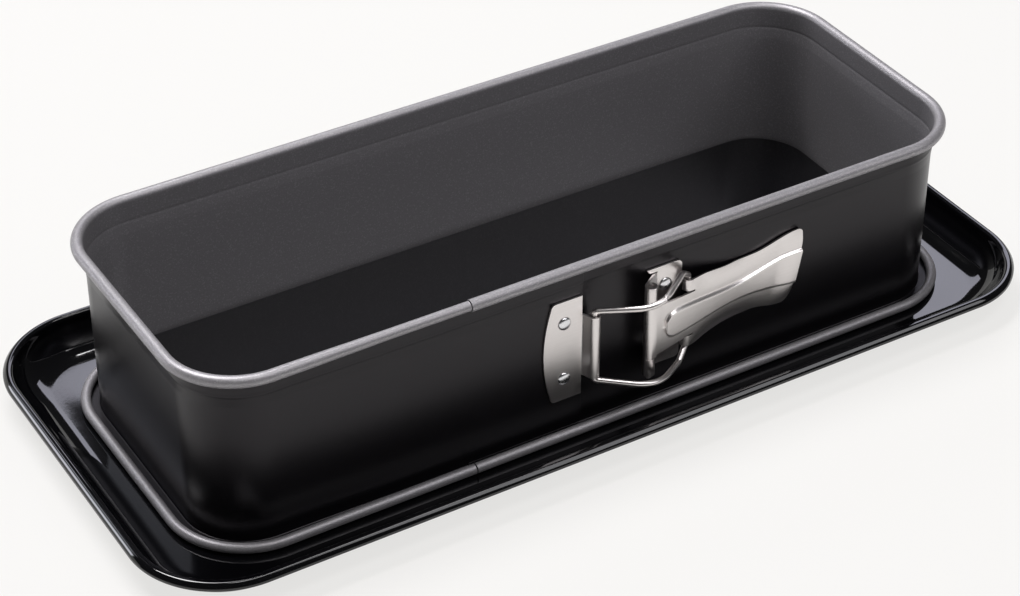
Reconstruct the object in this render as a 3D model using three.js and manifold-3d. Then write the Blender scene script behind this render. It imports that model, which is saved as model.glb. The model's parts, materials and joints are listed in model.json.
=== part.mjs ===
// Springform loaf pan: a rolled-edge steel ring with an over-centre latch, loose on an enamelled tray.
// Millimetres, +Z up, +X along the pan, origin under the middle of the tray. The latch is on the front, -Y.

import * as THREE from 'three';
import { mergeVertices } from 'three/addons/utils/BufferGeometryUtils.js';
import Module from 'manifold-3d';

const wasm = await Module();
wasm.setup();

// Ring: one strip of coated sheet, bent round, rolled outward at both edges and lapped at the front
const INSIDE_LENGTH = 300;
const INSIDE_WIDTH = 110;
const INSIDE_CORNER_RADIUS = 23;
const RING_HEIGHT = 70.5;
const RING_SHEET = 0.5;
const UPPER_BAND_STEP = 0.45;
const UPPER_BAND_CLEARANCE = 0.8;
const UPPER_BAND_RAMP = 3.2;
const TOP_BEAD_DIAMETER = 4.3;
const TOP_CURL_SWEEP = THREE.MathUtils.degToRad(300);
const LOWER_BEAD_DIAMETER = 3.7;
const LOWER_BEAD_REACH = 5.5;
const LOWER_CURL_SWEEP = THREE.MathUtils.degToRad(280);
const FOOT_BEND_RADIUS = 1.5;
const JOINT_X = -55;
const JOINT_GAP = 0.4;
const LAP_LENGTH = 44.6;
const LAP_GAP = 0.25;
const LAP_RAMP_LENGTH = 50;
const TONGUE_EDGE_GAP = 0.4;

// Tray: pressed sheet with a raised platform inside the ring, a gutter round it and a rolled rim
const TRAY_SHEET = 1;
const TRAY_HEIGHT = 12.6;
const TRAY_MARGIN = 28.3;
const TRAY_CORNER_RADIUS = 34;
const PLATFORM_HEIGHT = 12.8;
const PLATFORM_EDGE_RADIUS = 2;
const PLATFORM_FOOT_RADIUS = 1.5;
const PLATFORM_CLEARANCE = 0.4;
const GUTTER_RADIUS = 13;
const RIM_WALL_ANGLE = THREE.MathUtils.degToRad(75);
const RIM_INNER_RADIUS = 1.5;
const RIM_FLAT = 0.6;
const RIM_OUTER_RADIUS = 1.7;
const LIP_DROP = 0.8;
const RING_SEAT_GAP = 0.3;

// Latch: plated sheet and wire on the lap, hinged on a pin
const LATCH_SHEET = 0.8;
const LATCH_SEAT_GAP = 0.2;
const KEEPER_HEIGHT = 41.4;
const KEEPER_WIDTH = 12.9;
const KEEPER_BOW = 2.9;
const KEEPER_CORNER_RADIUS = 1.8;
const KEEPER_STRAP_HEIGHT = 25.6;
const EYE_REACH = 2.8;
const EYE_STANDOFF = 4.2;
const EYE_CLEARANCE = 0.25;
const EYE_SWEEP = THREE.MathUtils.degToRad(285);
const WIRE_DIAMETER = 2.2;
const BAIL_EYE_HALF = 14.5;
const BAIL_EYE_BEND = 1.4;
const BAIL_APEX_SETBACK = 2.6;
const BAIL_APEX_CLEARANCE = 7.9;
const BAIL_APEX_HALF = 16.6;
const BAIL_APEX_BEND = 13.3;
const BAIL_KNEE_REACH = 4.4;
const BAIL_KNEE_RISE = 2.9;
const BAIL_KNEE_HALF = 18.9;
const BAIL_KNEE_BEND = 3.5;
const BAIL_TIP_CLEARANCE = 0.5;
const BAIL_TIP_BEND = 1.4;
const HINGE_REACH = 24;
const HINGE_STANDOFF = 6.6;
const PIN_DIAMETER = 2.5;
const PIN_CLEARANCE = 0.15;
const PIN_TOP_HALF = 18;
const PIN_BOTTOM_HALF = 20.2;
const PIN_CHAMFER = 0.3;
const LEVER_KNUCKLE_HALF = 11.2;
const KNUCKLE_GAP = 0.3;
const BRACKET_KNUCKLE_LENGTH = 7.2;
const BRACKET_HEIGHT = 41.2;
const BRACKET_LEFT = 2;
const BRACKET_BEND = 5.6;
const BRACKET_RIGHT = 16.4;
const BRACKET_CORNER_RADIUS = 2;
const BRACKET_EAR_HEIGHT = 5.6;
const BRACKET_CURL_SWEEP = THREE.MathUtils.degToRad(285);
const CRANK_REACH = 17.4;
const CRANK_STANDOFF = 3.4;
const CRANK_CLEARANCE = 0.35;

// Lever: one pressing with a raised panel, a narrow root, a waist and a flared thumb paddle
const LEVER_LENGTH = 65.4;
const LEVER_REST_REACH = 44;
const LEVER_WALL_GAP = 0.5;
const LEVER_LEVEL_SOFTNESS = 0.2;
const ROOT_HALF_AT_KNUCKLE = 10.3;
const ROOT_HALF_AT_BAND = 9;
const SLIT_LENGTH = 3.6;
const SLIT_WIDTH = 0.6;
const SHOULDER_HALF = 14;
const WAIST_HALF = 11.9;
const WAIST_REACH = 36;
const FLARE_REACH = 46;
const PADDLE_HALF = 14.8;
const PADDLE_CORNER_RADIUS = 3;
const PADDLE_LIFT = 0.9;
const PADDLE_LIFT_LENGTH = 10;
const PADDLE_OFFSET = 1.1;
const PADDLE_END_SLOPE = 0.19;
const BAND_DROP = 0.9;
const BAND_DROP_LENGTH = 10;
const BAND_CROWN = 0.3;
const BAND_CROWN_PLACE = 0.6;
const PANEL_START = 5.4;
const PANEL_ROOT_HALF = 4.8;
const PANEL_WAIST_HALF = 2.9;
const PANEL_WAIST_REACH = 38;
const PANEL_PADDLE_HALF = 6.2;
const PANEL_RISE = 1.1;
const PANEL_BEVEL = 0.7;
const HOOK_SWEEP = THREE.MathUtils.degToRad(102);

// Rivets
const KEEPER_RIVET_PITCH = 23.2;
const KEEPER_RIVET_INSET = 7.6;
const BRACKET_RIVET_PITCH = 25.4;
const BRACKET_RIVET_REACH = 9.6;
const RIVET_HEAD_DIAMETER = 5;
const RIVET_HEAD_HEIGHT = 0.9;
const RIVET_SHANK_DIAMETER = 2.2;
const RIVET_HOLE_CLEARANCE = 0.15;
const RIVET_SEAT_GAP = 0.1;
const RIVET_TAIL_THICKNESS = 0.5;

// Facet counts
const WELD_DISTANCE = 1e-4;
const CORNER_STEPS = 6;
const CURL_STEP = THREE.MathUtils.degToRad(30);
const TOP_CURL_STEPS = 10;
const LOWER_CURL_STEPS = 9;
const FOOT_BEND_STEPS = 3;
const LAP_RAMP_STEPS = 4;
const GUTTER_STEPS = 4;
const PANEL_START_STEPS = 5;
const LEVER_STEPS = 14;
const PADDLE_CORNER_STEPS = 3;
const HOOK_STEPS = 5;
const RIVET_DOME_STEPS = 4;
const WIRE_HALF_SIDES = 5;
const WIRE_STEPS = 72;
const ROUND_SIDES = 20;

// Places that follow from the driving dimensions
const RING_BOTTOM = TRAY_SHEET + RING_SEAT_GAP;
const RING_TOP = RING_BOTTOM + RING_HEIGHT;
const LAP = RING_SHEET + LAP_GAP;
const SEAM_X = JOINT_X + LAP_LENGTH;
const WALL_FACE = INSIDE_WIDTH / 2 + RING_SHEET;
const LATCH_Z = RING_BOTTOM + RING_HEIGHT / 2;
const KNUCKLE_BORE = PIN_DIAMETER / 2 + PIN_CLEARANCE;
const KNUCKLE_RADIUS = KNUCKLE_BORE + LATCH_SHEET;
const KEEPER_SEAT = LAP + LATCH_SEAT_GAP;
const CRANK_X = HINGE_REACH + CRANK_REACH;
const HOOK_RADIUS = WIRE_DIAMETER / 2 + CRANK_CLEARANCE + LATCH_SHEET / 2;
const SLIT_END = CRANK_REACH - HOOK_RADIUS + SLIT_LENGTH;
const BAND_INNER_HALF = ROOT_HALF_AT_BAND + SLIT_WIDTH;
const BAND_STEP_Z = LATCH_Z + Math.max(KEEPER_HEIGHT, BRACKET_HEIGHT) / 2 + UPPER_BAND_CLEARANCE;

const { clamp, lerp, smoothstep } = THREE.MathUtils;

function vec2(x, y) {
  return new THREE.Vector2(x, y);
}

// Points on an arc from one angle to another, both ends included
function arcPoints(cx, cy, radius, from, to, step = CURL_STEP) {
  const count = Math.max(2, Math.round(Math.abs(to - from) / step));
  return Array.from({ length: count + 1 }, (_, i) => {
    const angle = lerp(from, to, i / count);
    return vec2(cx + radius * Math.cos(angle), cy + radius * Math.sin(angle));
  });
}

// The line at a distance to the left of an open line, with mitred corners
function offsetLine(points, distance) {
  const sides = points.slice(1).map((p, i) => {
    const along = p.clone().sub(points[i]).normalize();
    return vec2(-along.y, along.x);
  });
  return points.map((p, i) => {
    const before = sides[Math.max(0, i - 1)];
    const after = sides[Math.min(sides.length - 1, i)];
    const mitre = before.clone().add(after).normalize();
    return p.clone().addScaledVector(mitre, distance / mitre.dot(after));
  });
}

// The closed outline of a sheet that follows a middle line
function sheetOutline(middle, thickness) {
  const left = offsetLine(middle, thickness / 2);
  const right = offsetLine(middle, -thickness / 2);
  return [...left, ...right.reverse()];
}

// A closed skin over rows of points: each row is a closed loop, and a cap is a polygon of one row's points
function skinGeometry(build) {
  const positions = [];
  const indices = [];
  const skin = {
    row(points) {
      const first = positions.length / 3;
      points.forEach((p) => positions.push(p.x, p.y, p.z));
      return points.map((_, i) => first + i);
    },
    bridge(rowA, rowB) {
      rowA.forEach((a, i) => {
        const j = (i + 1) % rowA.length;
        indices.push(a, rowB[i], rowB[j], a, rowB[j], rowA[j]);
      });
    },
    cap(row, flat, isLast) {
      const turn = Math.sign(THREE.ShapeUtils.area(flat)) * (isLast ? -1 : 1);
      THREE.ShapeUtils.triangulateShape(flat, []).forEach(([a, b, c]) => {
        const facing = Math.sign(THREE.ShapeUtils.area([flat[a], flat[b], flat[c]]));
        indices.push(...(facing === turn ? [row[a], row[b], row[c]] : [row[a], row[c], row[b]]));
      });
    },
  };
  build(skin);
  return facingOut(positions, indices);
}

// Turns every face over if the closed skin encloses a negative volume
function facingOut(positions, indices) {
  const corner = (i) => new THREE.Vector3().fromArray(positions, 3 * i);
  let volume = 0;
  for (let i = 0; i < indices.length; i += 3) {
    volume += corner(indices[i]).dot(corner(indices[i + 1]).cross(corner(indices[i + 2])));
  }
  if (volume < 0) {
    indices.reverse();
  }
  const geometry = new THREE.BufferGeometry();
  geometry.setAttribute('position', new THREE.Float32BufferAttribute(positions, 3));
  geometry.setIndex(indices);
  return geometry;
}

function solidOf(geometry) {
  const bare = geometry.clone();
  bare.deleteAttribute('normal');
  bare.deleteAttribute('uv');
  const merged = mergeVertices(bare, WELD_DISTANCE);
  return new wasm.Manifold(new wasm.Mesh({
    numProp: 3,
    vertProperties: new Float32Array(merged.attributes.position.array),
    triVerts: new Uint32Array(merged.index.array),
  }));
}

function geometryOf(solid) {
  const mesh = solid.getMesh();
  const geometry = new THREE.BufferGeometry();
  geometry.setAttribute('position', new THREE.Float32BufferAttribute(mesh.vertProperties, 3));
  geometry.setIndex([...mesh.triVerts]);
  return geometry;
}

function joined(first, ...others) {
  return geometryOf(others.reduce((sum, other) => sum.add(solidOf(other)), solidOf(first)));
}

function cut(body, ...tools) {
  return geometryOf(tools.reduce((rest, tool) => rest.subtract(solidOf(tool)), solidOf(body)));
}

function extruded(outline, depth) {
  const shape = outline instanceof THREE.Shape ? outline : new THREE.Shape(outline);
  return new THREE.ExtrudeGeometry(shape, { depth, bevelEnabled: false, curveSegments: CORNER_STEPS });
}

// A plan outline in x and y, carried up from one height to another
function raised(outline, bottom, top) {
  return extruded(outline, top - bottom).translate(0, 0, bottom);
}

// A front outline in x and z, carried outward from the wall from one standoff to another
function standing(outline, inner, outer) {
  return extruded(outline, outer - inner).rotateX(Math.PI / 2).translate(0, -inner, 0);
}

// A turned piece whose axis stands out from the wall: radius and standoff of each point, outermost first
function turnedOut(profile) {
  return new THREE.LatheGeometry(profile.map(([radius, standoff]) => vec2(radius, -standoff)), ROUND_SIDES);
}

// A turned piece with an upright axis: each profile point is a radius and a height, lowest first
function turnedUp(profile) {
  const points = profile.map(([radius, height]) => vec2(radius, height));
  return new THREE.LatheGeometry(points, ROUND_SIDES).rotateX(Math.PI / 2);
}

// Points round a rounded rectangle, from the front-right corner counter-clockwise
function roundedLoop(halfLength, halfWidth, radius, z) {
  const corners = [[1, -1], [1, 1], [-1, 1], [-1, -1]];
  return corners.flatMap(([sx, sy], quarter) => {
    const from = (quarter - 1) * Math.PI / 2;
    const cx = sx * (halfLength - radius);
    const cy = sy * (halfWidth - radius);
    const arc = arcPoints(cx, cy, radius, from, from + Math.PI / 2, Math.PI / 2 / CORNER_STEPS);
    return arc.map((p) => new THREE.Vector3(p.x, p.y, z));
  });
}

// Tray

function trayGeometry() {
  const platformLength = INSIDE_LENGTH / 2 - PLATFORM_CLEARANCE;
  const platformWidth = INSIDE_WIDTH / 2 - PLATFORM_CLEARANCE;
  const platformRadius = INSIDE_CORNER_RADIUS - PLATFORM_CLEARANCE;
  const outer = TRAY_MARGIN + PLATFORM_CLEARANCE;
  const lean = RIM_WALL_ANGLE;
  const rimCentre = outer - RIM_OUTER_RADIUS - RIM_FLAT;
  const wallTop = vec2(
    rimCentre - RIM_INNER_RADIUS * Math.sin(lean),
    TRAY_HEIGHT - RIM_INNER_RADIUS * (1 - Math.cos(lean)),
  );
  const wallFootZ = TRAY_SHEET + GUTTER_RADIUS * (1 - Math.cos(lean));
  const gutterEnd = wallTop.x - (wallTop.y - wallFootZ) / Math.tan(lean) - GUTTER_RADIUS * Math.sin(lean);

  const quarter = Math.PI / 2;
  const edgeZ = PLATFORM_HEIGHT - PLATFORM_EDGE_RADIUS;
  const footZ = TRAY_SHEET + PLATFORM_FOOT_RADIUS;
  const gutterZ = TRAY_SHEET + GUTTER_RADIUS;
  const lipZ = TRAY_HEIGHT - RIM_OUTER_RADIUS;
  const topLine = [
    ...arcPoints(-PLATFORM_EDGE_RADIUS, edgeZ, PLATFORM_EDGE_RADIUS, quarter, 0),
    ...arcPoints(PLATFORM_FOOT_RADIUS, footZ, PLATFORM_FOOT_RADIUS, 2 * quarter, 3 * quarter),
    ...arcPoints(gutterEnd, gutterZ, GUTTER_RADIUS, -quarter, lean - quarter, lean / GUTTER_STEPS),
    ...arcPoints(rimCentre, TRAY_HEIGHT - RIM_INNER_RADIUS, RIM_INNER_RADIUS, quarter + lean, quarter),
    ...arcPoints(outer - RIM_OUTER_RADIUS, lipZ, RIM_OUTER_RADIUS, quarter, 0),
    vec2(outer, lipZ - LIP_DROP),
  ];
  const underLine = offsetLine(topLine, -TRAY_SHEET);

  // Corner radii run from the platform's to the rim's across the gutter, and keep the rim an even width
  const gutterStartRadius = platformRadius + PLATFORM_FOOT_RADIUS;
  const gutterEndRadius = TRAY_CORNER_RADIUS - (outer - gutterEnd);
  const cornerRadius = (reach) => {
    if (reach <= PLATFORM_FOOT_RADIUS) {
      return platformRadius + reach;
    }
    if (reach >= gutterEnd) {
      return gutterEndRadius + reach - gutterEnd;
    }
    const share = (reach - PLATFORM_FOOT_RADIUS) / (gutterEnd - PLATFORM_FOOT_RADIUS);
    return lerp(gutterStartRadius, gutterEndRadius, share);
  };
  const loopAt = (p) => roundedLoop(platformLength + p.x, platformWidth + p.x, cornerRadius(p.x), p.y);

  return skinGeometry((skin) => {
    const loops = [...topLine, ...underLine.reverse()].map(loopAt);
    const rows = loops.map((loop) => skin.row(loop));
    rows.slice(1).forEach((row, i) => skin.bridge(rows[i], row));
    const flat = (loop) => loop.map((p) => vec2(p.x, p.y));
    skin.cap(rows[0], flat(loops[0]), false);
    skin.cap(rows.at(-1), flat(loops.at(-1)), true);
  });
}

// Ring

// The middle line of the ring's sheet, top to bottom: distance out from the inside face, and height
function ringMiddleLine(shift) {
  const half = RING_SHEET / 2;
  const topRadius = (TOP_BEAD_DIAMETER - shift) / 2;
  const topCentre = vec2(UPPER_BAND_STEP + shift + topRadius, RING_TOP - topRadius);
  const footZ = RING_BOTTOM + half;
  const lowerRadius = LOWER_BEAD_DIAMETER / 2;
  const topCurl = arcPoints(
    topCentre.x, topCentre.y, topRadius - half,
    Math.PI - TOP_CURL_SWEEP, Math.PI, TOP_CURL_SWEEP / TOP_CURL_STEPS,
  );
  const tongueTop = vec2(UPPER_BAND_STEP + shift + half, RING_TOP - TOP_BEAD_DIAMETER - TONGUE_EDGE_GAP);
  const wall = [
    vec2(UPPER_BAND_STEP + shift + half, BAND_STEP_Z + UPPER_BAND_RAMP),
    vec2(shift + half, BAND_STEP_Z),
  ];
  const tongueBottom = vec2(shift + half, footZ + FOOT_BEND_RADIUS + TONGUE_EDGE_GAP);
  const footBend = arcPoints(
    shift + half + FOOT_BEND_RADIUS, footZ + FOOT_BEND_RADIUS, FOOT_BEND_RADIUS,
    Math.PI, 1.5 * Math.PI, Math.PI / 2 / FOOT_BEND_STEPS,
  );
  const lowerCurl = arcPoints(
    LOWER_BEAD_REACH, RING_BOTTOM + lowerRadius, lowerRadius - half,
    -Math.PI / 2, LOWER_CURL_SWEEP - Math.PI / 2, LOWER_CURL_SWEEP / LOWER_CURL_STEPS,
  );
  const points = [...topCurl, tongueTop, ...wall, tongueBottom, ...footBend, ...lowerCurl];
  return { points, tongueFrom: points.indexOf(tongueTop), tongueTo: points.indexOf(tongueBottom) };
}

// Places along the ring's inside face, from the joint round to the joint again, each with its way out
function ringStations() {
  const halfLength = INSIDE_LENGTH / 2;
  const halfWidth = INSIDE_WIDTH / 2;
  const r = INSIDE_CORNER_RADIUS;
  const front = (x, shift) => ({ x, y: -halfWidth, out: vec2(0, -1), shift });
  const corners = [[1, -1], [1, 1], [-1, 1], [-1, -1]].flatMap(([sx, sy], quarter) => {
    const from = (quarter - 1) * Math.PI / 2;
    return Array.from({ length: CORNER_STEPS + 1 }, (_, i) => {
      const angle = from + i / CORNER_STEPS * Math.PI / 2;
      const out = vec2(Math.cos(angle), Math.sin(angle));
      return { x: sx * (halfLength - r) + r * out.x, y: sy * (halfWidth - r) + r * out.y, out, shift: 0 };
    });
  });
  const cornerEnd = r - halfLength;
  const ramp = Array.from({ length: LAP_RAMP_STEPS }, (_, i) => {
    const share = (i + 1) / LAP_RAMP_STEPS;
    return front(cornerEnd + share * LAP_RAMP_LENGTH, LAP * smoothstep(share, 0, 1));
  });
  return [front(JOINT_X, 0), ...corners, ...ramp, front(JOINT_X - JOINT_GAP, LAP)];
}

function ringGeometry() {
  const { tongueFrom, tongueTo, points } = ringMiddleLine(0);
  const count = points.length;
  const outlineAt = (shift) => sheetOutline(ringMiddleLine(shift).points, RING_SHEET);
  const placed = (station, outline) => outline.map((p) => (
    new THREE.Vector3(station.x + station.out.x * p.x, station.y + station.out.y * p.x, p.y)
  ));
  const span = (from, to) => Array.from({ length: to - from + 1 }, (_, i) => from + i);

  // The outline runs down one side of the sheet and up the other, so each place has a twin across it
  const twin = (i) => 2 * count - 1 - i;
  const twins = (list) => list.map(twin).reverse();
  const upper = span(0, tongueFrom);
  const tongue = span(tongueFrom, tongueTo);
  const lower = span(tongueTo, count - 1);
  const around = (list) => [...list, ...twins(list)];

  const strip = skinGeometry((skin) => {
    const stations = ringStations();
    const rows = stations.map((station) => skin.row(placed(station, outlineAt(station.shift))));
    rows.slice(1).forEach((row, i) => skin.bridge(rows[i], row));
    skin.cap(rows[0], outlineAt(0), false);
    const lapOutline = outlineAt(LAP);
    const part = (list, source) => around(list).map((i) => source[i]);
    const lastRow = rows.at(-1);
    skin.cap(part(upper, lastRow), part(upper, lapOutline), true);
    skin.cap(part(lower, lastRow), part(lower, lapOutline), true);
    const tip = { ...stations.at(-1), x: SEAM_X };
    const tipRow = skin.row(placed(tip, part(tongue, lapOutline)));
    skin.bridge(part(tongue, lastRow), tipRow);
    skin.cap(tipRow, part(tongue, lapOutline), true);
  });

  // Rivet holes: the keeper's through the tongue alone, the bracket's through the wall
  const hole = (x, z, inner, outer) => {
    const radius = RIVET_SHANK_DIAMETER / 2 + RIVET_HOLE_CLEARANCE;
    return turnedOut([[0, outer], [radius, outer], [radius, inner], [0, inner]]).translate(x, -WALL_FACE, z);
  };
  const past = LAP_GAP / 2;
  const holes = [-1, 1].flatMap((side) => [
    hole(SEAM_X - KEEPER_RIVET_INSET, LATCH_Z + side * KEEPER_RIVET_PITCH / 2, LAP_GAP - past, LAP + past),
    hole(
      SEAM_X + HINGE_REACH + BRACKET_RIVET_REACH, LATCH_Z + side * BRACKET_RIVET_PITCH / 2,
      -RING_SHEET - past, past,
    ),
  ]);
  return cut(strip, ...holes);
}

// Latch pieces, in a frame at the seam: x along the wall, y from its outer face, z from the latch's middle

// A sheet that runs from a point to a round eye and curls over it clockwise, as a middle line
function curlLine(lead, centre, radius, sweep) {
  const start = lead.at(-1);
  const toCentre = centre.clone().sub(start);
  const reach = toCentre.length();
  const heading = toCentre.angle() + Math.asin(radius / reach);
  const touch = heading + Math.PI / 2;
  return [...lead, ...arcPoints(centre.x, centre.y, radius, touch, touch - sweep)];
}

// Plan outlines are drawn with y as the standoff from the wall, and turned over to face the front
function planToFront(points) {
  return points.map((p) => vec2(p.x, -p.y)).reverse();
}

function keeperGeometry() {
  const half = KEEPER_HEIGHT / 2;
  const plate = new THREE.Shape();
  plate.moveTo(0, -half);
  plate.lineTo(0, half);
  plate.lineTo(KEEPER_CORNER_RADIUS - KEEPER_WIDTH, half);
  plate.quadraticCurveTo(-KEEPER_WIDTH, half, -KEEPER_WIDTH, half - KEEPER_CORNER_RADIUS);
  plate.quadraticCurveTo(-KEEPER_WIDTH - 2 * KEEPER_BOW, 0, -KEEPER_WIDTH, KEEPER_CORNER_RADIUS - half);
  plate.quadraticCurveTo(-KEEPER_WIDTH, -half, KEEPER_CORNER_RADIUS - KEEPER_WIDTH, -half);
  const holeRadius = RIVET_SHANK_DIAMETER / 2 + RIVET_HOLE_CLEARANCE;
  [-1, 1].forEach((side) => {
    const hole = new THREE.Path();
    hole.absarc(-KEEPER_RIVET_INSET, side * KEEPER_RIVET_PITCH / 2, holeRadius, 0, 2 * Math.PI, true);
    plate.holes.push(hole);
  });
  const sheetMiddle = KEEPER_SEAT + LATCH_SHEET / 2;
  const eyeRadius = WIRE_DIAMETER / 2 + EYE_CLEARANCE + LATCH_SHEET / 2;
  const lead = [vec2(-2 * LATCH_SHEET, sheetMiddle), vec2(0, sheetMiddle)];
  const strap = curlLine(lead, vec2(EYE_REACH, EYE_STANDOFF), eyeRadius, EYE_SWEEP);
  const strapOutline = planToFront(sheetOutline(strap, LATCH_SHEET));
  return joined(
    standing(plate, KEEPER_SEAT, KEEPER_SEAT + LATCH_SHEET),
    raised(strapOutline, -KEEPER_STRAP_HEIGHT / 2, KEEPER_STRAP_HEIGHT / 2),
  );
}

// A path through corner points, with each inner corner rounded off
function roundedPath(points, radii) {
  const path = new THREE.CurvePath();
  let from = points[0];
  points.slice(1, -1).forEach((corner, i) => {
    const into = corner.clone().sub(points[i]).normalize();
    const away = points[i + 2].clone().sub(corner).normalize();
    const trim = radii[i] * Math.tan(into.angleTo(away) / 2);
    const start = corner.clone().addScaledVector(into, -trim);
    const end = corner.clone().addScaledVector(away, trim);
    path.add(new THREE.LineCurve3(from, start));
    path.add(new THREE.QuadraticBezierCurve3(start, corner, end));
    from = end;
  });
  path.add(new THREE.LineCurve3(from, points.at(-1)));
  return path;
}

// The bail: a wire through the keeper's eye, its arms bowed out past the hinge and turned in to the hooks
function bailGeometry() {
  const apex = HINGE_STANDOFF + KNUCKLE_RADIUS + BAIL_APEX_CLEARANCE;
  const at = (x, standoff, z) => new THREE.Vector3(x, -standoff, z);
  const arm = [
    at(CRANK_X, CRANK_STANDOFF, ROOT_HALF_AT_BAND + BAIL_TIP_CLEARANCE),
    at(CRANK_X, CRANK_STANDOFF, SHOULDER_HALF + WIRE_DIAMETER / 2),
    at(CRANK_X - BAIL_KNEE_REACH, CRANK_STANDOFF + BAIL_KNEE_RISE, BAIL_KNEE_HALF),
    at(HINGE_REACH - BAIL_APEX_SETBACK, apex, BAIL_APEX_HALF),
    at(EYE_REACH, EYE_STANDOFF, BAIL_EYE_HALF),
  ];
  const mirrored = arm.map((p) => p.clone().setZ(-p.z)).reverse();
  const armRadii = [BAIL_TIP_BEND, BAIL_KNEE_BEND, BAIL_APEX_BEND, BAIL_EYE_BEND];
  const path = roundedPath([...arm, ...mirrored], [...armRadii, ...armRadii.toReversed()]);
  const section = new THREE.Shape();
  section.absarc(0, 0, WIRE_DIAMETER / 2, 0, 2 * Math.PI);
  return new THREE.ExtrudeGeometry(section, {
    extrudePath: path, steps: WIRE_STEPS, curveSegments: WIRE_HALF_SIDES,
  });
}

function bracketGeometry() {
  const half = BRACKET_HEIGHT / 2;
  const r = BRACKET_CORNER_RADIUS;
  const right = HINGE_REACH + BRACKET_RIGHT;
  const left = HINGE_REACH + BRACKET_LEFT;
  const bend = HINGE_REACH + BRACKET_BEND;
  const notch = half - BRACKET_EAR_HEIGHT;
  const plate = new THREE.Shape();
  plate.moveTo(bend, -notch);
  plate.lineTo(left, -half);
  plate.lineTo(right - r, -half);
  plate.absarc(right - r, r - half, r, -Math.PI / 2, 0);
  plate.absarc(right - r, half - r, r, 0, Math.PI / 2);
  plate.lineTo(left, half);
  plate.lineTo(bend, notch);
  const holeRadius = RIVET_SHANK_DIAMETER / 2 + RIVET_HOLE_CLEARANCE;
  [-1, 1].forEach((side) => {
    const hole = new THREE.Path();
    const x = HINGE_REACH + BRACKET_RIVET_REACH;
    hole.absarc(x, side * BRACKET_RIVET_PITCH / 2, holeRadius, 0, 2 * Math.PI, true);
    plate.holes.push(hole);
  });
  const sheetMiddle = LATCH_SEAT_GAP + LATCH_SHEET / 2;
  const lead = [vec2(bend + LATCH_SHEET, sheetMiddle), vec2(bend, sheetMiddle)];
  const leaf = curlLine(
    lead, vec2(HINGE_REACH, HINGE_STANDOFF), KNUCKLE_BORE + LATCH_SHEET / 2, BRACKET_CURL_SWEEP,
  );
  const outline = planToFront(sheetOutline(leaf, LATCH_SHEET));
  const near = LEVER_KNUCKLE_HALF + KNUCKLE_GAP;
  const far = near + BRACKET_KNUCKLE_LENGTH;
  return joined(
    standing(plate, LATCH_SEAT_GAP, LATCH_SEAT_GAP + LATCH_SHEET),
    raised(outline, near, far),
    raised(outline, -far, -near),
  );
}

function pinGeometry() {
  const radius = PIN_DIAMETER / 2;
  const c = PIN_CHAMFER;
  const profile = [
    [0, -PIN_BOTTOM_HALF], [radius - c, -PIN_BOTTOM_HALF], [radius, c - PIN_BOTTOM_HALF],
    [radius, PIN_TOP_HALF - c], [radius - c, PIN_TOP_HALF], [0, PIN_TOP_HALF],
  ];
  return turnedUp(profile).translate(HINGE_REACH, -HINGE_STANDOFF, 0);
}

// Lever, in a frame at the hinge: u along the lever from the pin, heights as standoffs from the wall

function leverBase(u) {
  const start = HINGE_STANDOFF + KNUCKLE_RADIUS;
  const rest = LATCH_SHEET + LEVER_WALL_GAP;
  const left = 1 - u / LEVER_REST_REACH;
  const softened = (left + Math.hypot(left, LEVER_LEVEL_SOFTNESS)) / 2;
  const lift = PADDLE_LIFT * smoothstep(u, LEVER_LENGTH - PADDLE_LIFT_LENGTH, LEVER_LENGTH);
  return rest + (start - rest) * softened + lift;
}

function leverHalf(u) {
  const paddleStart = LEVER_LENGTH - PADDLE_CORNER_RADIUS;
  const narrowed = lerp(SHOULDER_HALF, WAIST_HALF, smoothstep(u, CRANK_REACH, WAIST_REACH));
  const half = lerp(narrowed, PADDLE_HALF, smoothstep(u, FLARE_REACH, paddleStart));
  const over = Math.max(0, u - paddleStart);
  return half - PADDLE_CORNER_RADIUS + Math.sqrt(Math.max(0, PADDLE_CORNER_RADIUS ** 2 - over ** 2));
}

function panelHalf(u) {
  const centre = PANEL_START + PANEL_ROOT_HALF;
  const short = clamp(centre - u, 0, PANEL_ROOT_HALF);
  const rounded = Math.sqrt(PANEL_ROOT_HALF ** 2 - short ** 2);
  const narrowed = lerp(rounded, PANEL_WAIST_HALF, smoothstep(u, centre, PANEL_WAIST_REACH));
  const half = lerp(narrowed, PANEL_PADDLE_HALF, smoothstep(u, PANEL_WAIST_REACH, LEVER_LENGTH));
  return Math.max(PANEL_BEVEL / 2, half);
}

function bandDrop(u) {
  const drop = BAND_CROWN + BAND_DROP * smoothstep(u, CRANK_REACH, CRANK_REACH + BAND_DROP_LENGTH);
  return Math.min(drop, leverBase(u) - LATCH_SHEET - LEVER_WALL_GAP);
}

// The lever's outer face across its width at one place: half-width out from the middle, and standoff
function leverSection(u) {
  const base = leverBase(u);
  const edge = leverHalf(u);
  const top = panelHalf(u);
  const foot = top + PANEL_BEVEL;
  const rise = PANEL_RISE * smoothstep(u, PANEL_START, PANEL_START + PANEL_BEVEL);
  const drop = bandDrop(u);
  const side = [
    vec2(edge, base - drop),
    vec2(lerp(foot, edge, BAND_CROWN_PLACE), base - BAND_CROWN * drop),
    vec2(foot, base),
    vec2(top, base + rise),
  ];
  return [...side, ...side.map((p) => vec2(-p.x, p.y)).reverse()];
}

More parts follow.
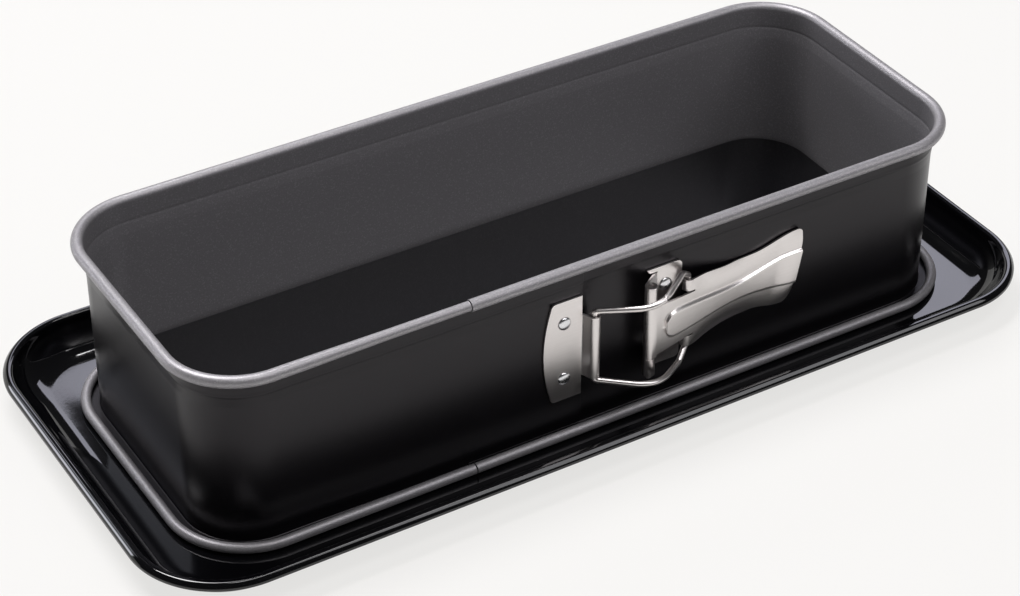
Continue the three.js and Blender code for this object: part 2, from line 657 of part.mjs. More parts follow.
function leverGeometry() {
  const panelCentre = PANEL_START + PANEL_ROOT_HALF;
  const paddleStart = LEVER_LENGTH - PADDLE_CORNER_RADIUS;
  const evenly = (from, to, count) => Array.from({ length: count }, (_, i) => lerp(from, to, i / count));
  const stops = [
    0,
    ...evenly(PANEL_START, panelCentre, PANEL_START_STEPS),
    ...evenly(panelCentre, paddleStart, LEVER_STEPS),
    ...evenly(0, Math.PI / 2, PADDLE_CORNER_STEPS).map((turn) => (
      paddleStart + PADDLE_CORNER_RADIUS * Math.sin(turn)
    )),
    LEVER_LENGTH,
  ];
  const sheet = skinGeometry((skin) => {
    const outlines = stops.map((u) => {
      const outerFace = leverSection(u);
      return [...outerFace, ...offsetLine(outerFace, LATCH_SHEET).reverse()];
    });
    const rows = outlines.map((outline, i) => {
      const share = smoothstep(stops[i], WAIST_REACH, LEVER_LENGTH);
      const slope = share * PADDLE_END_SLOPE;
      const lift = share * PADDLE_OFFSET;
      return skin.row(outline.map((p) => new THREE.Vector3(stops[i] + slope * p.x, -p.y, p.x + lift)));
    });
    rows.slice(1).forEach((row, i) => skin.bridge(rows[i], row));
    skin.cap(rows[0], outlines[0], false);
    skin.cap(rows.at(-1), outlines.at(-1), true);
  });

  // The root is cut narrow, and a slit parts it from the side bands
  const clear = SHOULDER_HALF + PADDLE_HALF;
  const sideCuts = [-1, 1].flatMap((side) => {
    const corner = [
      vec2(-KNUCKLE_RADIUS, side * ROOT_HALF_AT_KNUCKLE), vec2(CRANK_REACH, side * ROOT_HALF_AT_BAND),
      vec2(CRANK_REACH, side * clear), vec2(-KNUCKLE_RADIUS, side * clear),
    ];
    const slit = [
      vec2(CRANK_REACH - SLIT_WIDTH, side * ROOT_HALF_AT_BAND), vec2(SLIT_END, side * ROOT_HALF_AT_BAND),
      vec2(SLIT_END, side * BAND_INNER_HALF), vec2(CRANK_REACH - SLIT_WIDTH, side * BAND_INNER_HALF),
    ];
    const depth = HINGE_STANDOFF + 2 * KNUCKLE_RADIUS;
    return [corner, slit].map((outline) => standing(outline, -depth, 2 * depth));
  });
  const trimmed = cut(sheet, ...sideCuts);

  const tube = turnedUp([
    [0, -LEVER_KNUCKLE_HALF], [KNUCKLE_RADIUS, -LEVER_KNUCKLE_HALF],
    [KNUCKLE_RADIUS, LEVER_KNUCKLE_HALF], [0, LEVER_KNUCKLE_HALF],
  ]).translate(0, -HINGE_STANDOFF, 0);
  const boreHalf = LEVER_KNUCKLE_HALF + KNUCKLE_GAP;
  const bore = turnedUp([
    [0, -boreHalf], [KNUCKLE_BORE, -boreHalf], [KNUCKLE_BORE, boreHalf], [0, boreHalf],
  ]).translate(0, -HINGE_STANDOFF, 0);

  // Each side band's end is curled into a hook over the bail's end, open towards the wall to let go of it
  const bandMiddle = leverBase(SLIT_END) - BAND_CROWN * bandDrop(SLIT_END) - LATCH_SHEET / 2;
  const hookLine = [
    vec2(SLIT_END, bandMiddle),
    ...arcPoints(
      CRANK_REACH, CRANK_STANDOFF, HOOK_RADIUS,
      Math.PI / 2, Math.PI / 2 + HOOK_SWEEP, HOOK_SWEEP / HOOK_STEPS,
    ),
  ];
  const hookOutline = planToFront(sheetOutline(hookLine, LATCH_SHEET));
  const hooks = [-1, 1].map((side) => {
    const ends = [side * BAND_INNER_HALF, side * SHOULDER_HALF];
    return raised(hookOutline, Math.min(...ends), Math.max(...ends));
  });
  return cut(joined(trimmed, tube, ...hooks), bore);
}

// Rivets: a low domed head on the outer face, a shank, and a flat tail where the wall's inside is free

function rivetGeometry(headSeat, shankEnd, tailReach) {
  const headRadius = RIVET_HEAD_DIAMETER / 2;
  const shankRadius = RIVET_SHANK_DIAMETER / 2;
  const headFoot = headSeat + RIVET_SEAT_GAP;
  const dome = Array.from({ length: RIVET_DOME_STEPS + 1 }, (_, i) => {
    const angle = i / RIVET_DOME_STEPS * Math.PI / 2;
    return [headRadius * Math.sin(angle), headFoot + RIVET_HEAD_HEIGHT * Math.cos(angle)];
  });
  const tail = tailReach > 0
    ? [[headRadius, shankEnd], [headRadius, shankEnd - tailReach]]
    : [];
  const end = shankEnd - tailReach;
  return turnedOut([...dome, [shankRadius, headFoot], [shankRadius, shankEnd], ...tail, [0, end]]);
}

// Materials

const coatedSteel = new THREE.MeshStandardMaterial({ color: 0x2b2a2b, roughness: 0.55, metalness: 0.3 });
const enamel = new THREE.MeshStandardMaterial({ color: 0x0b0c0f, roughness: 0.08, metalness: 0 });
const platedSteel = new THREE.MeshStandardMaterial({ color: 0xc9c3bb, roughness: 0.3, metalness: 1 });
const rivetMetal = new THREE.MeshStandardMaterial({ color: 0xdadad8, roughness: 0.25, metalness: 1 });

function named(name, geometry, material) {
  const mesh = new THREE.Mesh(geometry, material);
  mesh.name = name;
  return mesh;
}

// Assembly

const pan = new THREE.Group();
pan.add(named('base_tray', trayGeometry(), enamel));

const ring = new THREE.Group();
ring.add(named('ring_wall', ringGeometry(), coatedSteel));
pan.add(ring);

const latch = new THREE.Group();
latch.position.set(SEAM_X, -WALL_FACE, LATCH_Z);
latch.add(named('keeper_plate', keeperGeometry(), platedSteel));
latch.add(named('latch_bail', bailGeometry(), platedSteel));
latch.add(named('hinge_bracket', bracketGeometry(), platedSteel));
latch.add(named('hinge_pin', pinGeometry(), platedSteel));
ring.add(latch);

const lever = named('latch_lever', leverGeometry(), platedSteel);
lever.position.x = HINGE_REACH;
latch.add(lever);

[['upper', 1], ['lower', -1]].forEach(([place, side]) => {
  const keeperRivet = named(
    `keeper_rivet_${place}`, rivetGeometry(KEEPER_SEAT + LATCH_SHEET, LAP_GAP, 0), rivetMetal,
  );
  keeperRivet.position.set(-KEEPER_RIVET_INSET, 0, side * KEEPER_RIVET_PITCH / 2);
  latch.add(keeperRivet);

  const bracketRivet = named(
    `bracket_rivet_${place}`,
    rivetGeometry(LATCH_SEAT_GAP + LATCH_SHEET, -RING_SHEET - RIVET_SEAT_GAP, RIVET_TAIL_THICKNESS),
    rivetMetal,
  );
  bracketRivet.position.set(HINGE_REACH + BRACKET_RIVET_REACH, 0, side * BRACKET_RIVET_PITCH / 2);
  latch.add(bracketRivet);
});

export default pan;
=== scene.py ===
"""Looks of a springform loaf pan: pressed sheets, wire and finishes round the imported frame, in metres."""

import json
import math

import bmesh
import bpy
import numpy as np
from mathutils import Matrix, Vector


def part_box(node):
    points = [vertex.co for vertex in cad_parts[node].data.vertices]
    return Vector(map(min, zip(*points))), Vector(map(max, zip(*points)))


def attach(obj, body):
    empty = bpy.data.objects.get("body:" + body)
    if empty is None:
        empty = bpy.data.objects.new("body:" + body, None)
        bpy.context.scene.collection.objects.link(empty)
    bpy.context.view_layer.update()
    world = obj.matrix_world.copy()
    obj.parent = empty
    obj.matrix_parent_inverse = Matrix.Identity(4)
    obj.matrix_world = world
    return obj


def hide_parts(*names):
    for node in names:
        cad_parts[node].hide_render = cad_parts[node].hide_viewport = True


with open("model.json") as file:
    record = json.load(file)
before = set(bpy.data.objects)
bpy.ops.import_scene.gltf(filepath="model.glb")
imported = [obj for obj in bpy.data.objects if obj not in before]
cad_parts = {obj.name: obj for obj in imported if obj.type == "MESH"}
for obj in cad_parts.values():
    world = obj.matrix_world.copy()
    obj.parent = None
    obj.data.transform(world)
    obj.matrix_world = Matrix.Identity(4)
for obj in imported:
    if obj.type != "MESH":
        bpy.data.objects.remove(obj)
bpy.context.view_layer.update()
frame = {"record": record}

# Base tray
# One pressed steel sheet under black vitreous enamel: a raised floor inside the ring, a drip gutter round it
# and a rim rolled over into an outer lip. The enamel is fired on, so it is glossy with a faint orange peel.

MM = 0.001
TRAY_SHEET = 1.0 * MM
TRAY_CUT_EDGE = 0.3 * MM
TRAY_MARGIN = 28.7 * MM
TRAY_CORNER = 34.0 * MM
PLATFORM_CORNER = 22.6 * MM
PLATFORM_EDGE = 2.0 * MM
PLATFORM_FOOT = 1.5 * MM
GUTTER_FILLET = 13.0 * MM
RIM_LEAN = 75.0
RIM_INNER = 1.5 * MM
RIM_FLAT = 0.6 * MM
LIP_BENDS = [(1.0 * MM, 0, 40), (5.0 * MM, 40, 58), (0.7 * MM, 58, 90)]
LIP_REACH = 1.7755 * MM
LIP_DROP = 0.7 * MM
TRAY_TURN_STEPS = 40
FLOOR_RINGS = 6
WELD_DISTANCE = 1e-7
CUT_ANGLE = 50

ENAMEL_COLOURS = [(0.0010, 0.0010, 0.0014), (0.0020, 0.0020, 0.0026)]
ENAMEL_ROUGHNESS = (0.03, 0.075)
ENAMEL_IOR = 1.58
PEEL_SIZE = 1.4 * MM
PEEL_STRENGTH = 0.015
PEEL_DEPTH = 0.2 * MM
WAVE_SIZE = 34 * MM
WAVE_STRENGTH = 0.02
WAVE_DEPTH = 2 * MM
GRAIN_DETAIL = 3.0
PATCH_DETAIL = 2.0
NOISE_ROUGHNESS = 0.55

tray_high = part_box("base_tray")[1]
mounts = {mount["name"]: mount for mount in frame["record"]["mounts"]}
floor_z = mounts["cake_floor"]["pos_m"][2]


def arc(cx, cy, radius, start, end, count):
    """Points on a circle: the centre plus the radius times (cos, sin) of even angles, in degrees."""
    angle = np.radians(np.linspace(start, end, count))
    return np.stack([cx + radius * np.cos(angle), cy + radius * np.sin(angle)], axis=1)


def rolled_lip(x, z, bends, count):
    """Arcs joined without a kink from a start point: each bend has a radius and two slopes, in degrees.

    A point on a bend is its centre plus the radius times (sin, cos) of the slope."""
    points = []
    for radius, start, end in bends:
        slope = np.radians(np.linspace(start, end, count))
        ways = np.stack([np.sin(slope), np.cos(slope)], axis=1)
        points.append(np.array([x, z]) + radius * (ways - ways[0]))
        x, z = points[-1][-1]
    return np.concatenate(points)


def corner_turns(steps):
    """The ways out and the corner signs round a rounded rectangle, counter-clockwise and closed.

    Each corner turns through a quarter circle, from the front right one on."""
    quarter = np.radians(np.linspace(-90, 0, steps + 1))
    turn = (quarter[None, :] + np.radians(90) * np.arange(4)[:, None]).ravel()
    signs = np.repeat([(1, -1), (1, 1), (-1, 1), (-1, -1)], steps + 1, axis=0)
    out = np.stack([np.cos(turn), np.sin(turn)], axis=1)
    return np.append(out, out[:1], axis=0), np.append(signs, signs[:1], axis=0)


def sheet_object(name, points, materials, keep=None, thickness=0.0, side=0.0, edge=0.0, edge_steps=3):
    """A piece over a grid of points: every kept cell of four neighbours is a face, and doubles are welded.

    Solidify gives the sheet its thickness (side -1 is behind the grid, 0 is both ways) and Bevel rounds
    its cut edges. The UV map holds the distance along and across the grid, in metres."""
    rows, columns = points.shape[:2]
    index = np.arange(rows * columns).reshape(rows, columns)
    quads = np.stack([index[:-1, :-1], index[1:, :-1], index[1:, 1:], index[:-1, 1:]], axis=-1)
    quads = quads.reshape(-1, 4) if keep is None else quads[keep]
    mesh = bpy.data.meshes.new(name)
    mesh.from_pydata(points.reshape(-1, 3), [], quads)
    along = np.linalg.norm(np.diff(points, axis=0), axis=2).mean(axis=1)
    across = np.linalg.norm(np.diff(points, axis=1), axis=2).mean(axis=0)
    u = np.repeat(np.append(0, np.cumsum(along))[:, None], columns, axis=1)
    v = np.repeat(np.append(0, np.cumsum(across))[None, :], rows, axis=0)
    uv = np.stack([u, v], axis=-1).reshape(-1, 2)
    layer = mesh.uv_layers.new(name="Sheet")
    layer.data.foreach_set("uv", uv[quads.ravel()].ravel())
    welder = bmesh.new()
    welder.from_mesh(mesh)
    bmesh.ops.remove_doubles(welder, verts=welder.verts, dist=WELD_DISTANCE)
    loose = [vert for vert in welder.verts if not vert.link_faces]
    bmesh.ops.delete(welder, geom=loose, context="VERTS")
    welder.to_mesh(mesh)
    welder.free()
    mesh.polygons.foreach_set("use_smooth", np.ones(len(mesh.polygons), bool))
    for material in materials:
        mesh.materials.append(material)
    piece = bpy.data.objects.new(name, mesh)
    bpy.context.scene.collection.objects.link(piece)
    if thickness:
        solid = piece.modifiers.new("Sheet", "SOLIDIFY")
        solid.thickness = thickness
        solid.offset = side
        solid.use_even_offset = True
        solid.use_quality_normals = True
        solid.material_offset = len(materials) - 1
        solid.material_offset_rim = len(materials) - 1
    if edge:
        bevel = piece.modifiers.new("Cut edge", "BEVEL")
        bevel.width = edge
        bevel.segments = edge_steps
        bevel.limit_method = "ANGLE"
        bevel.angle_limit = math.radians(CUT_ANGLE)
        bevel.harden_normals = True
    return piece


def node(tree, kind, sockets=None, **settings):
    """Adds a node with these settings; a socket takes a plain value or a link from another node's socket."""
    made = tree.nodes.new("ShaderNode" + kind)
    for key, value in settings.items():
        setattr(made, key, value)
    for key, value in (sockets or {}).items():
        if isinstance(value, bpy.types.NodeSocket):
            tree.links.new(value, made.inputs[key])
        else:
            made.inputs[key].default_value = value
    return made


def maths(tree, operation, first, second):
    """The result of one operation on two values, each a number or another node's socket."""
    return node(tree, "Math", {0: first, 1: second}, operation=operation).outputs[0]


def average(tree, first, second):
    """The mean of two masks."""
    return maths(tree, "MULTIPLY", maths(tree, "ADD", first, second), 0.5)


def spread(tree, factor, low, high):
    """Maps a factor of 0 to 1 onto low to high."""
    return node(tree, "MapRange", {"Value": factor, "To Min": low, "To Max": high}).outputs["Result"]


def blend_colours(tree, factor, first, second):
    """Mixes two colours by a factor: the first where it is 0, the second where it is 1.

    A Mix node's colour sockets are its inputs 6 and 7 and its output 2."""
    sockets = {"Factor": factor, 6: (*first, 1), 7: (*second, 1)}
    return node(tree, "Mix", sockets, data_type="RGBA").outputs[2]


def bump(tree, strength, depth, height, **below):
    """The normal of a surface with this height on it, over the Normal of a bump below it if one is given.

    The depth is the distance that a height of 1 stands for."""
    sockets = {"Strength": strength, "Distance": depth, "Height": height, **below}
    return node(tree, "Bump", sockets).outputs["Normal"]


def grain_group():
    """Two noises over a surface: fine grain at Size, and soft patches at Patch Size, both about 0 to 1."""
    tree = bpy.data.node_groups.new("Grain and patches", "ShaderNodeTree")
    for socket, kind in [("Vector", "Vector"), ("Size", "Float"), ("Patch Size", "Float")]:
        tree.interface.new_socket(socket, in_out="INPUT", socket_type="NodeSocket" + kind)
    for socket in ["Grain", "Patches"]:
        tree.interface.new_socket(socket, in_out="OUTPUT", socket_type="NodeSocketFloat")
    given = tree.nodes.new("NodeGroupInput")
    result = tree.nodes.new("NodeGroupOutput")
    for size, output, detail in [("Size", "Grain", GRAIN_DETAIL), ("Patch Size", "Patches", PATCH_DETAIL)]:
        noise = node(tree, "TexNoise", {
            "Vector": given.outputs["Vector"],
            "Scale": maths(tree, "DIVIDE", 1.0, given.outputs[size]),
            "Detail": detail,
            "Roughness": NOISE_ROUGHNESS,
        })
        tree.links.new(noise.outputs["Fac"], result.inputs[output])
    return tree


grain_effect = grain_group()


def grain_over(tree, size, patch_size):
    """Places the grain group in a material, on Object coordinates, and gives its two masks."""
    place = node(tree, "TexCoord").outputs["Object"]
    sockets = {"Vector": place, "Size": size, "Patch Size": patch_size}
    placed = node(tree, "Group", sockets, node_tree=grain_effect)
    return placed.outputs["Grain"], placed.outputs["Patches"]


def new_finish(name, **constants):
    """A material with its node tree and its Principled shader, whose constant sockets are set here."""
    material = bpy.data.materials.new(name)
    material.use_nodes = True
    shader = material.node_tree.nodes["Principled BSDF"]
    for key, value in constants.items():
        shader.inputs[key.replace("_", " ")].default_value = value
    return material, material.node_tree, shader


def link_finish(tree, shader, colour, roughness, normal):
    """Links the three things that vary over every finish here to its shader."""
    for socket, value in [("Base Color", colour), ("Roughness", roughness), ("Normal", normal)]:
        tree.links.new(value, shader.inputs[socket])


def enamel_material():
    """Black glass enamel: a deep base, a faint orange peel in the bump, and slightly uneven gloss."""
    material, tree, shader = new_finish("black_enamel", IOR=ENAMEL_IOR)
    grain, patches = grain_over(tree, PEEL_SIZE, WAVE_SIZE)
    peel = bump(tree, PEEL_STRENGTH, PEEL_DEPTH, grain)
    wave = bump(tree, WAVE_STRENGTH, WAVE_DEPTH, patches, Normal=peel)
    colour = blend_colours(tree, patches, *ENAMEL_COLOURS)
    link_finish(tree, shader, colour, spread(tree, patches, *ENAMEL_ROUGHNESS), wave)
    return material


def tray_points():
    """The tray's upper face: a profile of arcs carried round the rounded rectangle.

    Reach runs out from the platform's edge. Corner radii grow with the reach up to the gutter, run evenly
    to the rim's across it, and grow with the reach again, so the rim keeps an even width."""
    gutter_z = TRAY_SHEET + GUTTER_FILLET
    rim_z = tray_high.z
    lean = math.radians(RIM_LEAN)
    lip_start = TRAY_MARGIN - LIP_REACH
    rim_centre = lip_start - RIM_FLAT
    wall_top = rim_centre - RIM_INNER * math.sin(lean)
    wall_top_z = rim_z - RIM_INNER * (1 - math.cos(lean))
    wall_foot_z = TRAY_SHEET + GUTTER_FILLET * (1 - math.cos(lean))
    wall_foot = wall_top - (wall_top_z - wall_foot_z) / math.tan(lean)
    gutter_end = wall_foot - GUTTER_FILLET * math.sin(lean)
    lip = rolled_lip(lip_start, rim_z, LIP_BENDS, count=10)
    profile = np.concatenate([
        arc(-PLATFORM_EDGE, floor_z - PLATFORM_EDGE, PLATFORM_EDGE, 90, 0, count=14),
        arc(PLATFORM_FOOT, TRAY_SHEET + PLATFORM_FOOT, PLATFORM_FOOT, 180, 270, count=12),
        arc(gutter_end, gutter_z, GUTTER_FILLET, -90, RIM_LEAN - 90, count=30),
        arc(rim_centre, rim_z - RIM_INNER, RIM_INNER, 90 + RIM_LEAN, 90, count=12),
        lip,
        [(lip[-1, 0], lip[-1, 1] - LIP_DROP)],
    ])
    reach, height = profile[:, :1], profile[:, 1:]
    gutter_end_corner = TRAY_CORNER - TRAY_MARGIN + gutter_end
    corner = np.interp(
        reach,
        [-PLATFORM_EDGE, PLATFORM_FOOT, gutter_end, TRAY_MARGIN],
        [PLATFORM_CORNER - PLATFORM_EDGE, PLATFORM_CORNER + PLATFORM_FOOT, gutter_end_corner, TRAY_CORNER],
    )
    out, sign = corner_turns(TRAY_TURN_STEPS)
    half = (tray_high.x - TRAY_MARGIN + reach - corner, tray_high.y - TRAY_MARGIN + reach - corner)
    x = sign[:, 0] * half[0] + out[:, 0] * corner
    y = sign[:, 1] * half[1] + out[:, 1] * corner
    slope = np.stack([x, y, np.broadcast_to(height, x.shape)], axis=-1)
    share = np.linspace(0, 1, FLOOR_RINGS, endpoint=False)[:, None, None]
    floor = slope[:1] * np.concatenate([share, share, np.ones_like(share)], axis=-1)
    return np.concatenate([floor, slope])


tray = sheet_object(
    "enamelled_tray", tray_points(), [enamel_material()],
    thickness=TRAY_SHEET, side=-1, edge=TRAY_CUT_EDGE,
)
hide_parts("base_tray")
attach(tray, "base")

# Ring wall
# One strip of sheet steel bent to a rounded rectangle, coated grey inside and satin black outside. Both
# edges are rolled outward into beads, so the grey side shows on them. Its left end laps outside the right.

RING_SHEET = 0.5 * MM
RING_CUT_EDGE = 0.1 * MM
WALL_HALF_LENGTH = 150.0 * MM
WALL_HALF_WIDTH = 55.0 * MM
INSIDE_CORNER = 23.0 * MM
TOP_BEAD = 4.3 * MM
TOP_CURL = 300
LOWER_BEAD = 3.7 * MM
LOWER_BEAD_REACH = 5.5 * MM
LOWER_CURL = 280
FOOT_BEND = 0.7 * MM
BAND_STEP = 0.45 * MM
BAND_STEP_RISE = 57.4 * MM
BAND_RAMP = 4.8 * MM
BAND_RAMP_STRAIGHT = 0.75
BAND_GROOVE = 0.09 * MM
BAND_GROOVE_HALF = 0.6 * MM
JOINT_X = -55.0 * MM
JOINT_GAP = 0.4 * MM
SEAM_X = -10.4 * MM
LAP = 0.75 * MM
LAP_RAMP = 50.0 * MM
TONGUE_GAP = 0.4 * MM
RING_TURN_STEPS = 32

GREY_COAT = {
    "colours": [(0.205, 0.198, 0.207), (0.34, 0.33, 0.343)],
    "tint": (1.0, 1.0, 1.0),
    "roughness": (0.38, 0.50),
    "metallic": 0.5,
    "ior": 1.5,
    "grain_size": 0.5 * MM,
    "grit": 0.35,
    "flake": 0.6,
}
BLACK_COAT = {
    "colours": [(0.0025, 0.0022, 0.0028), (0.006, 0.0054, 0.0066)],
    "tint": (1.0, 0.95, 1.0),
    "roughness": (0.26, 0.36),
    "metallic": 0.0,
    "ior": 1.38,
    "grain_size": 0.6 * MM,
    "grit": 0.10,
    "flake": 0.3,
}
SHEEN_PATCH = 45 * MM
GRIT_DEPTH = 0.15 * MM
FLAKE_SIZE = 0.45 * MM
FLAKE_FROM = 0.80

ring_low, ring_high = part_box("ring_wall")


def smooth(value, start, end):
    """Rises from 0 to 1 between start and end, as 3 t squared minus 2 t cubed."""
    share = np.clip((value - start) / (end - start), 0, 1)
    return share * share * (3 - 2 * share)


def ring_section(shift):
    """The middle line of the strip for each lap shift, bottom edge to top edge, as reach and height.

    Reach is the distance out from the inside face. The beads are arcs, the step is a ramp with soft ends,
    and a shallow groove, a bell curve of the height, runs along the ramp's top. The last two values are
    the first and last columns of the plain wall, which the tongue keeps."""
    half = RING_SHEET / 2
    foot_z = ring_low.z + half
    shift = shift[:, None]
    lower_radius = LOWER_BEAD / 2
    lower = arc(
        LOWER_BEAD_REACH, ring_low.z + lower_radius, lower_radius - half, LOWER_CURL - 90, -90, count=40,
    )
    bend = arc(half + FOOT_BEND, foot_z + FOOT_BEND, FOOT_BEND, 270, 180, count=12)
    tongue_low = foot_z + FOOT_BEND + TONGUE_GAP
    tongue_high = ring_high.z - TOP_BEAD - TONGUE_GAP
    wall_z = np.concatenate([
        np.linspace(tongue_low, BAND_STEP_RISE, 6),
        np.linspace(BAND_STEP_RISE, BAND_STEP_RISE + BAND_RAMP + 3 * BAND_GROOVE_HALF, 30)[1:],
        [tongue_high],
    ])
    groove = BAND_GROOVE * np.exp(-((wall_z - BAND_STEP_RISE - BAND_RAMP) / BAND_GROOVE_HALF) ** 2)
    ramp = np.clip((wall_z - BAND_STEP_RISE) / BAND_RAMP, 0, 1)
    ramp = BAND_RAMP_STRAIGHT * ramp + (1 - BAND_RAMP_STRAIGHT) * smooth(ramp, 0, 1)
    wall_reach = half + BAND_STEP * ramp + groove
    angle = np.radians(np.linspace(180, 180 - TOP_CURL, 44))[None, :]
    radius = (TOP_BEAD - shift) / 2
    curl_reach = BAND_STEP + shift + radius + (radius - half) * np.cos(angle)
    curl_z = ring_high.z - radius + (radius - half) * np.sin(angle)

    def each(line):
        return np.repeat(line[None, :], len(shift), axis=0)

    reach = np.concatenate([each(lower[:, 0]), bend[:, 0] + shift, wall_reach + shift, curl_reach], axis=1)
    height = np.concatenate([each(lower[:, 1]), each(bend[:, 1]), each(wall_z), curl_z], axis=1)
    first = len(lower) + len(bend)
    return reach, height, first, first + len(wall_z) - 1


def ring_points():
    """The strip's middle surface: its section carried from the joint round the corners to the lap's tip.

    The lap's shift rises smoothly along its ramp. Past the joint only the plain wall, a tongue, is kept."""
    out, sign = corner_turns(RING_TURN_STEPS)
    out, sign = out[:-1], sign[:-1]
    corner_x = sign[:, 0] * (WALL_HALF_LENGTH - INSIDE_CORNER) + out[:, 0] * INSIDE_CORNER
    corner_y = sign[:, 1] * (WALL_HALF_WIDTH - INSIDE_CORNER) + out[:, 1] * INSIDE_CORNER
    ramp_start = INSIDE_CORNER - WALL_HALF_LENGTH
    ramp_end = ramp_start + LAP_RAMP
    lap_x = np.concatenate([np.linspace(ramp_start, ramp_end, 13)[1:], [JOINT_X - JOINT_GAP, SEAM_X]])
    lap_shift = LAP * smooth(lap_x, ramp_start, ramp_end)
    x = np.concatenate([[JOINT_X], corner_x, lap_x])
    y = np.concatenate([[-WALL_HALF_WIDTH], corner_y, np.full(len(lap_x), -WALL_HALF_WIDTH)])
    front = np.tile([(0.0, -1.0)], (len(lap_x), 1))
    way_out = np.concatenate([front[:1], out, front])
    shift = np.concatenate([np.zeros(1 + len(corner_x)), lap_shift])
    reach, height, tongue_first, tongue_last = ring_section(shift)
    points = np.stack([
        x[:, None] + way_out[:, :1] * reach, y[:, None] + way_out[:, 1:] * reach, height,
    ], axis=-1)
    keep = np.ones((len(x) - 1, reach.shape[1] - 1), bool)
    keep[-1, :tongue_first] = False
    keep[-1, tongue_last:] = False
    return points, keep


def coat_material(name, colours, tint, roughness, metallic, ior, grain_size, grit, flake):
    """A baked coat on sheet steel: fine grain in bump and gloss, flakes in the colour, patches of sheen.

    A flake is a small cell whose random tone is over a limit, and it lightens the coat there."""
    material, tree, shader = new_finish(name, Metallic=metallic, IOR=ior, Specular_Tint=(*tint, 1))
    grain, patches = grain_over(tree, grain_size, SHEEN_PATCH)
    place = node(tree, "TexCoord").outputs["Object"]
    cells = node(tree, "TexVoronoi", {"Vector": place, "Scale": 1 / FLAKE_SIZE})
    tone = node(tree, "SeparateColor", {"Color": cells.outputs["Color"]}).outputs["Red"]
    glint = node(tree, "MapRange", {"Value": tone, "From Min": FLAKE_FROM, "From Max": 1.0, "To Max": flake})
    colour = blend_colours(tree, maths(tree, "ADD", grain, glint.outputs["Result"]), *colours)
    sheen = average(tree, patches, grain)
    gritty = bump(tree, grit, GRIT_DEPTH, grain)
    link_finish(tree, shader, colour, spread(tree, sheen, *roughness), gritty)
    return material


grey_coat = coat_material("grey_nonstick_coat", **GREY_COAT)
black_coat = coat_material("satin_black_coat", **BLACK_COAT)
ring_grid, ring_keep = ring_points()
ring = sheet_object(
    "ring_strip", ring_grid, [black_coat, grey_coat],
    keep=ring_keep, thickness=RING_SHEET, edge=RING_CUT_EDGE, edge_steps=2,
)
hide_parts("ring_wall")
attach(ring, "ring")

# Keeper plate
# Nickel-plated sheet steel, riveted to the lap. Its left edge is bowed, and a strap on its right edge is
# bent out from the wall and curled into the eye that the bail turns in.

LATCH_SHEET = 0.8 * MM
LATCH_CUT_EDGE = 0.16 * MM
SEAT_GAP = 0.2 * MM
WALL_FACE = WALL_HALF_WIDTH + RING_SHEET
KEEPER_WIDTH = 12.9 * MM
KEEPER_BOW = 2.9 * MM
KEEPER_CORNER = 1.8 * MM
KEEPER_STRAP_HALF = 12.8 * MM
STRAP_BEND = 0.7
WIRE_DIAMETER = 2.2 * MM
EYE_CLEARANCE = 0.25 * MM
EYE_RADIUS = WIRE_DIAMETER / 2 + EYE_CLEARANCE + LATCH_SHEET / 2
EYE_REACH = 2.8 * MM
EYE_STANDOFF = 4.2 * MM
EYE_SWEEP = 285
CURL_STEPS = 44
BEND_STEPS = 9

NICKEL_COLOURS = [(0.67, 0.632, 0.617), (0.83, 0.797, 0.785)]
NICKEL_ROUGHNESS = (0.22, 0.40)
NICKEL_GRAIN = 0.35 * MM
NICKEL_PATCH = 9 * MM
STREAKS_PER_METRE = (60, 2600, 1)
STREAK_DETAIL = 4.0
SCRATCH_STRENGTH = 0.10
SCRATCH_DEPTH = 0.05 * MM

keeper_low, keeper_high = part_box("keeper_plate")
latch_z = (keeper_low.z + keeper_high.z) / 2
keeper_half = (keeper_high.z - keeper_low.z) / 2
keeper_middle = LAP + SEAT_GAP + LATCH_SHEET / 2


def on_wall(x, standoff, z):
    """Points of the latch, from the lap's seam, the wall's outer face and the latch's middle height."""
    x, standoff, z = np.broadcast_arrays(x, standoff, z)
    return np.stack([SEAM_X + x, -WALL_FACE - standoff, latch_z + z], axis=-1)


def curl(start_x, start_y, centre_x, centre_y, radius, sweep):
    """The arc of a strip that runs from a start point to a circle, then clockwise round it, by the sweep.

    The strip's heading is the direction to the centre plus asin(radius / distance), so it just touches."""
    away = math.hypot(centre_x - start_x, centre_y - start_y)
    heading = math.atan2(centre_y - start_y, centre_x - start_x) + math.asin(radius / away)
    touch = math.degrees(heading + math.pi / 2)
    return arc(centre_x, centre_y, radius, touch, touch - sweep, CURL_STEPS)


def parabola(start, corner, end, count):
    """A bend drawn to a corner: (1 - t) squared of start, 2 t (1 - t) of the corner, t squared of end."""
    share = np.linspace(0, 1, count)[:, None]
    return (1 - share) ** 2 * start + 2 * share * (1 - share) * corner + share ** 2 * end


def eased_corner(before, corner, after, softness):
    """A bend at a corner that starts and ends at a share, the softness, of the way to its neighbours."""
    before, corner, after = np.array([before, corner, after])
    start = corner + (before - corner) * softness
    end = corner + (after - corner) * softness
    return parabola(start, corner, end, BEND_STEPS)


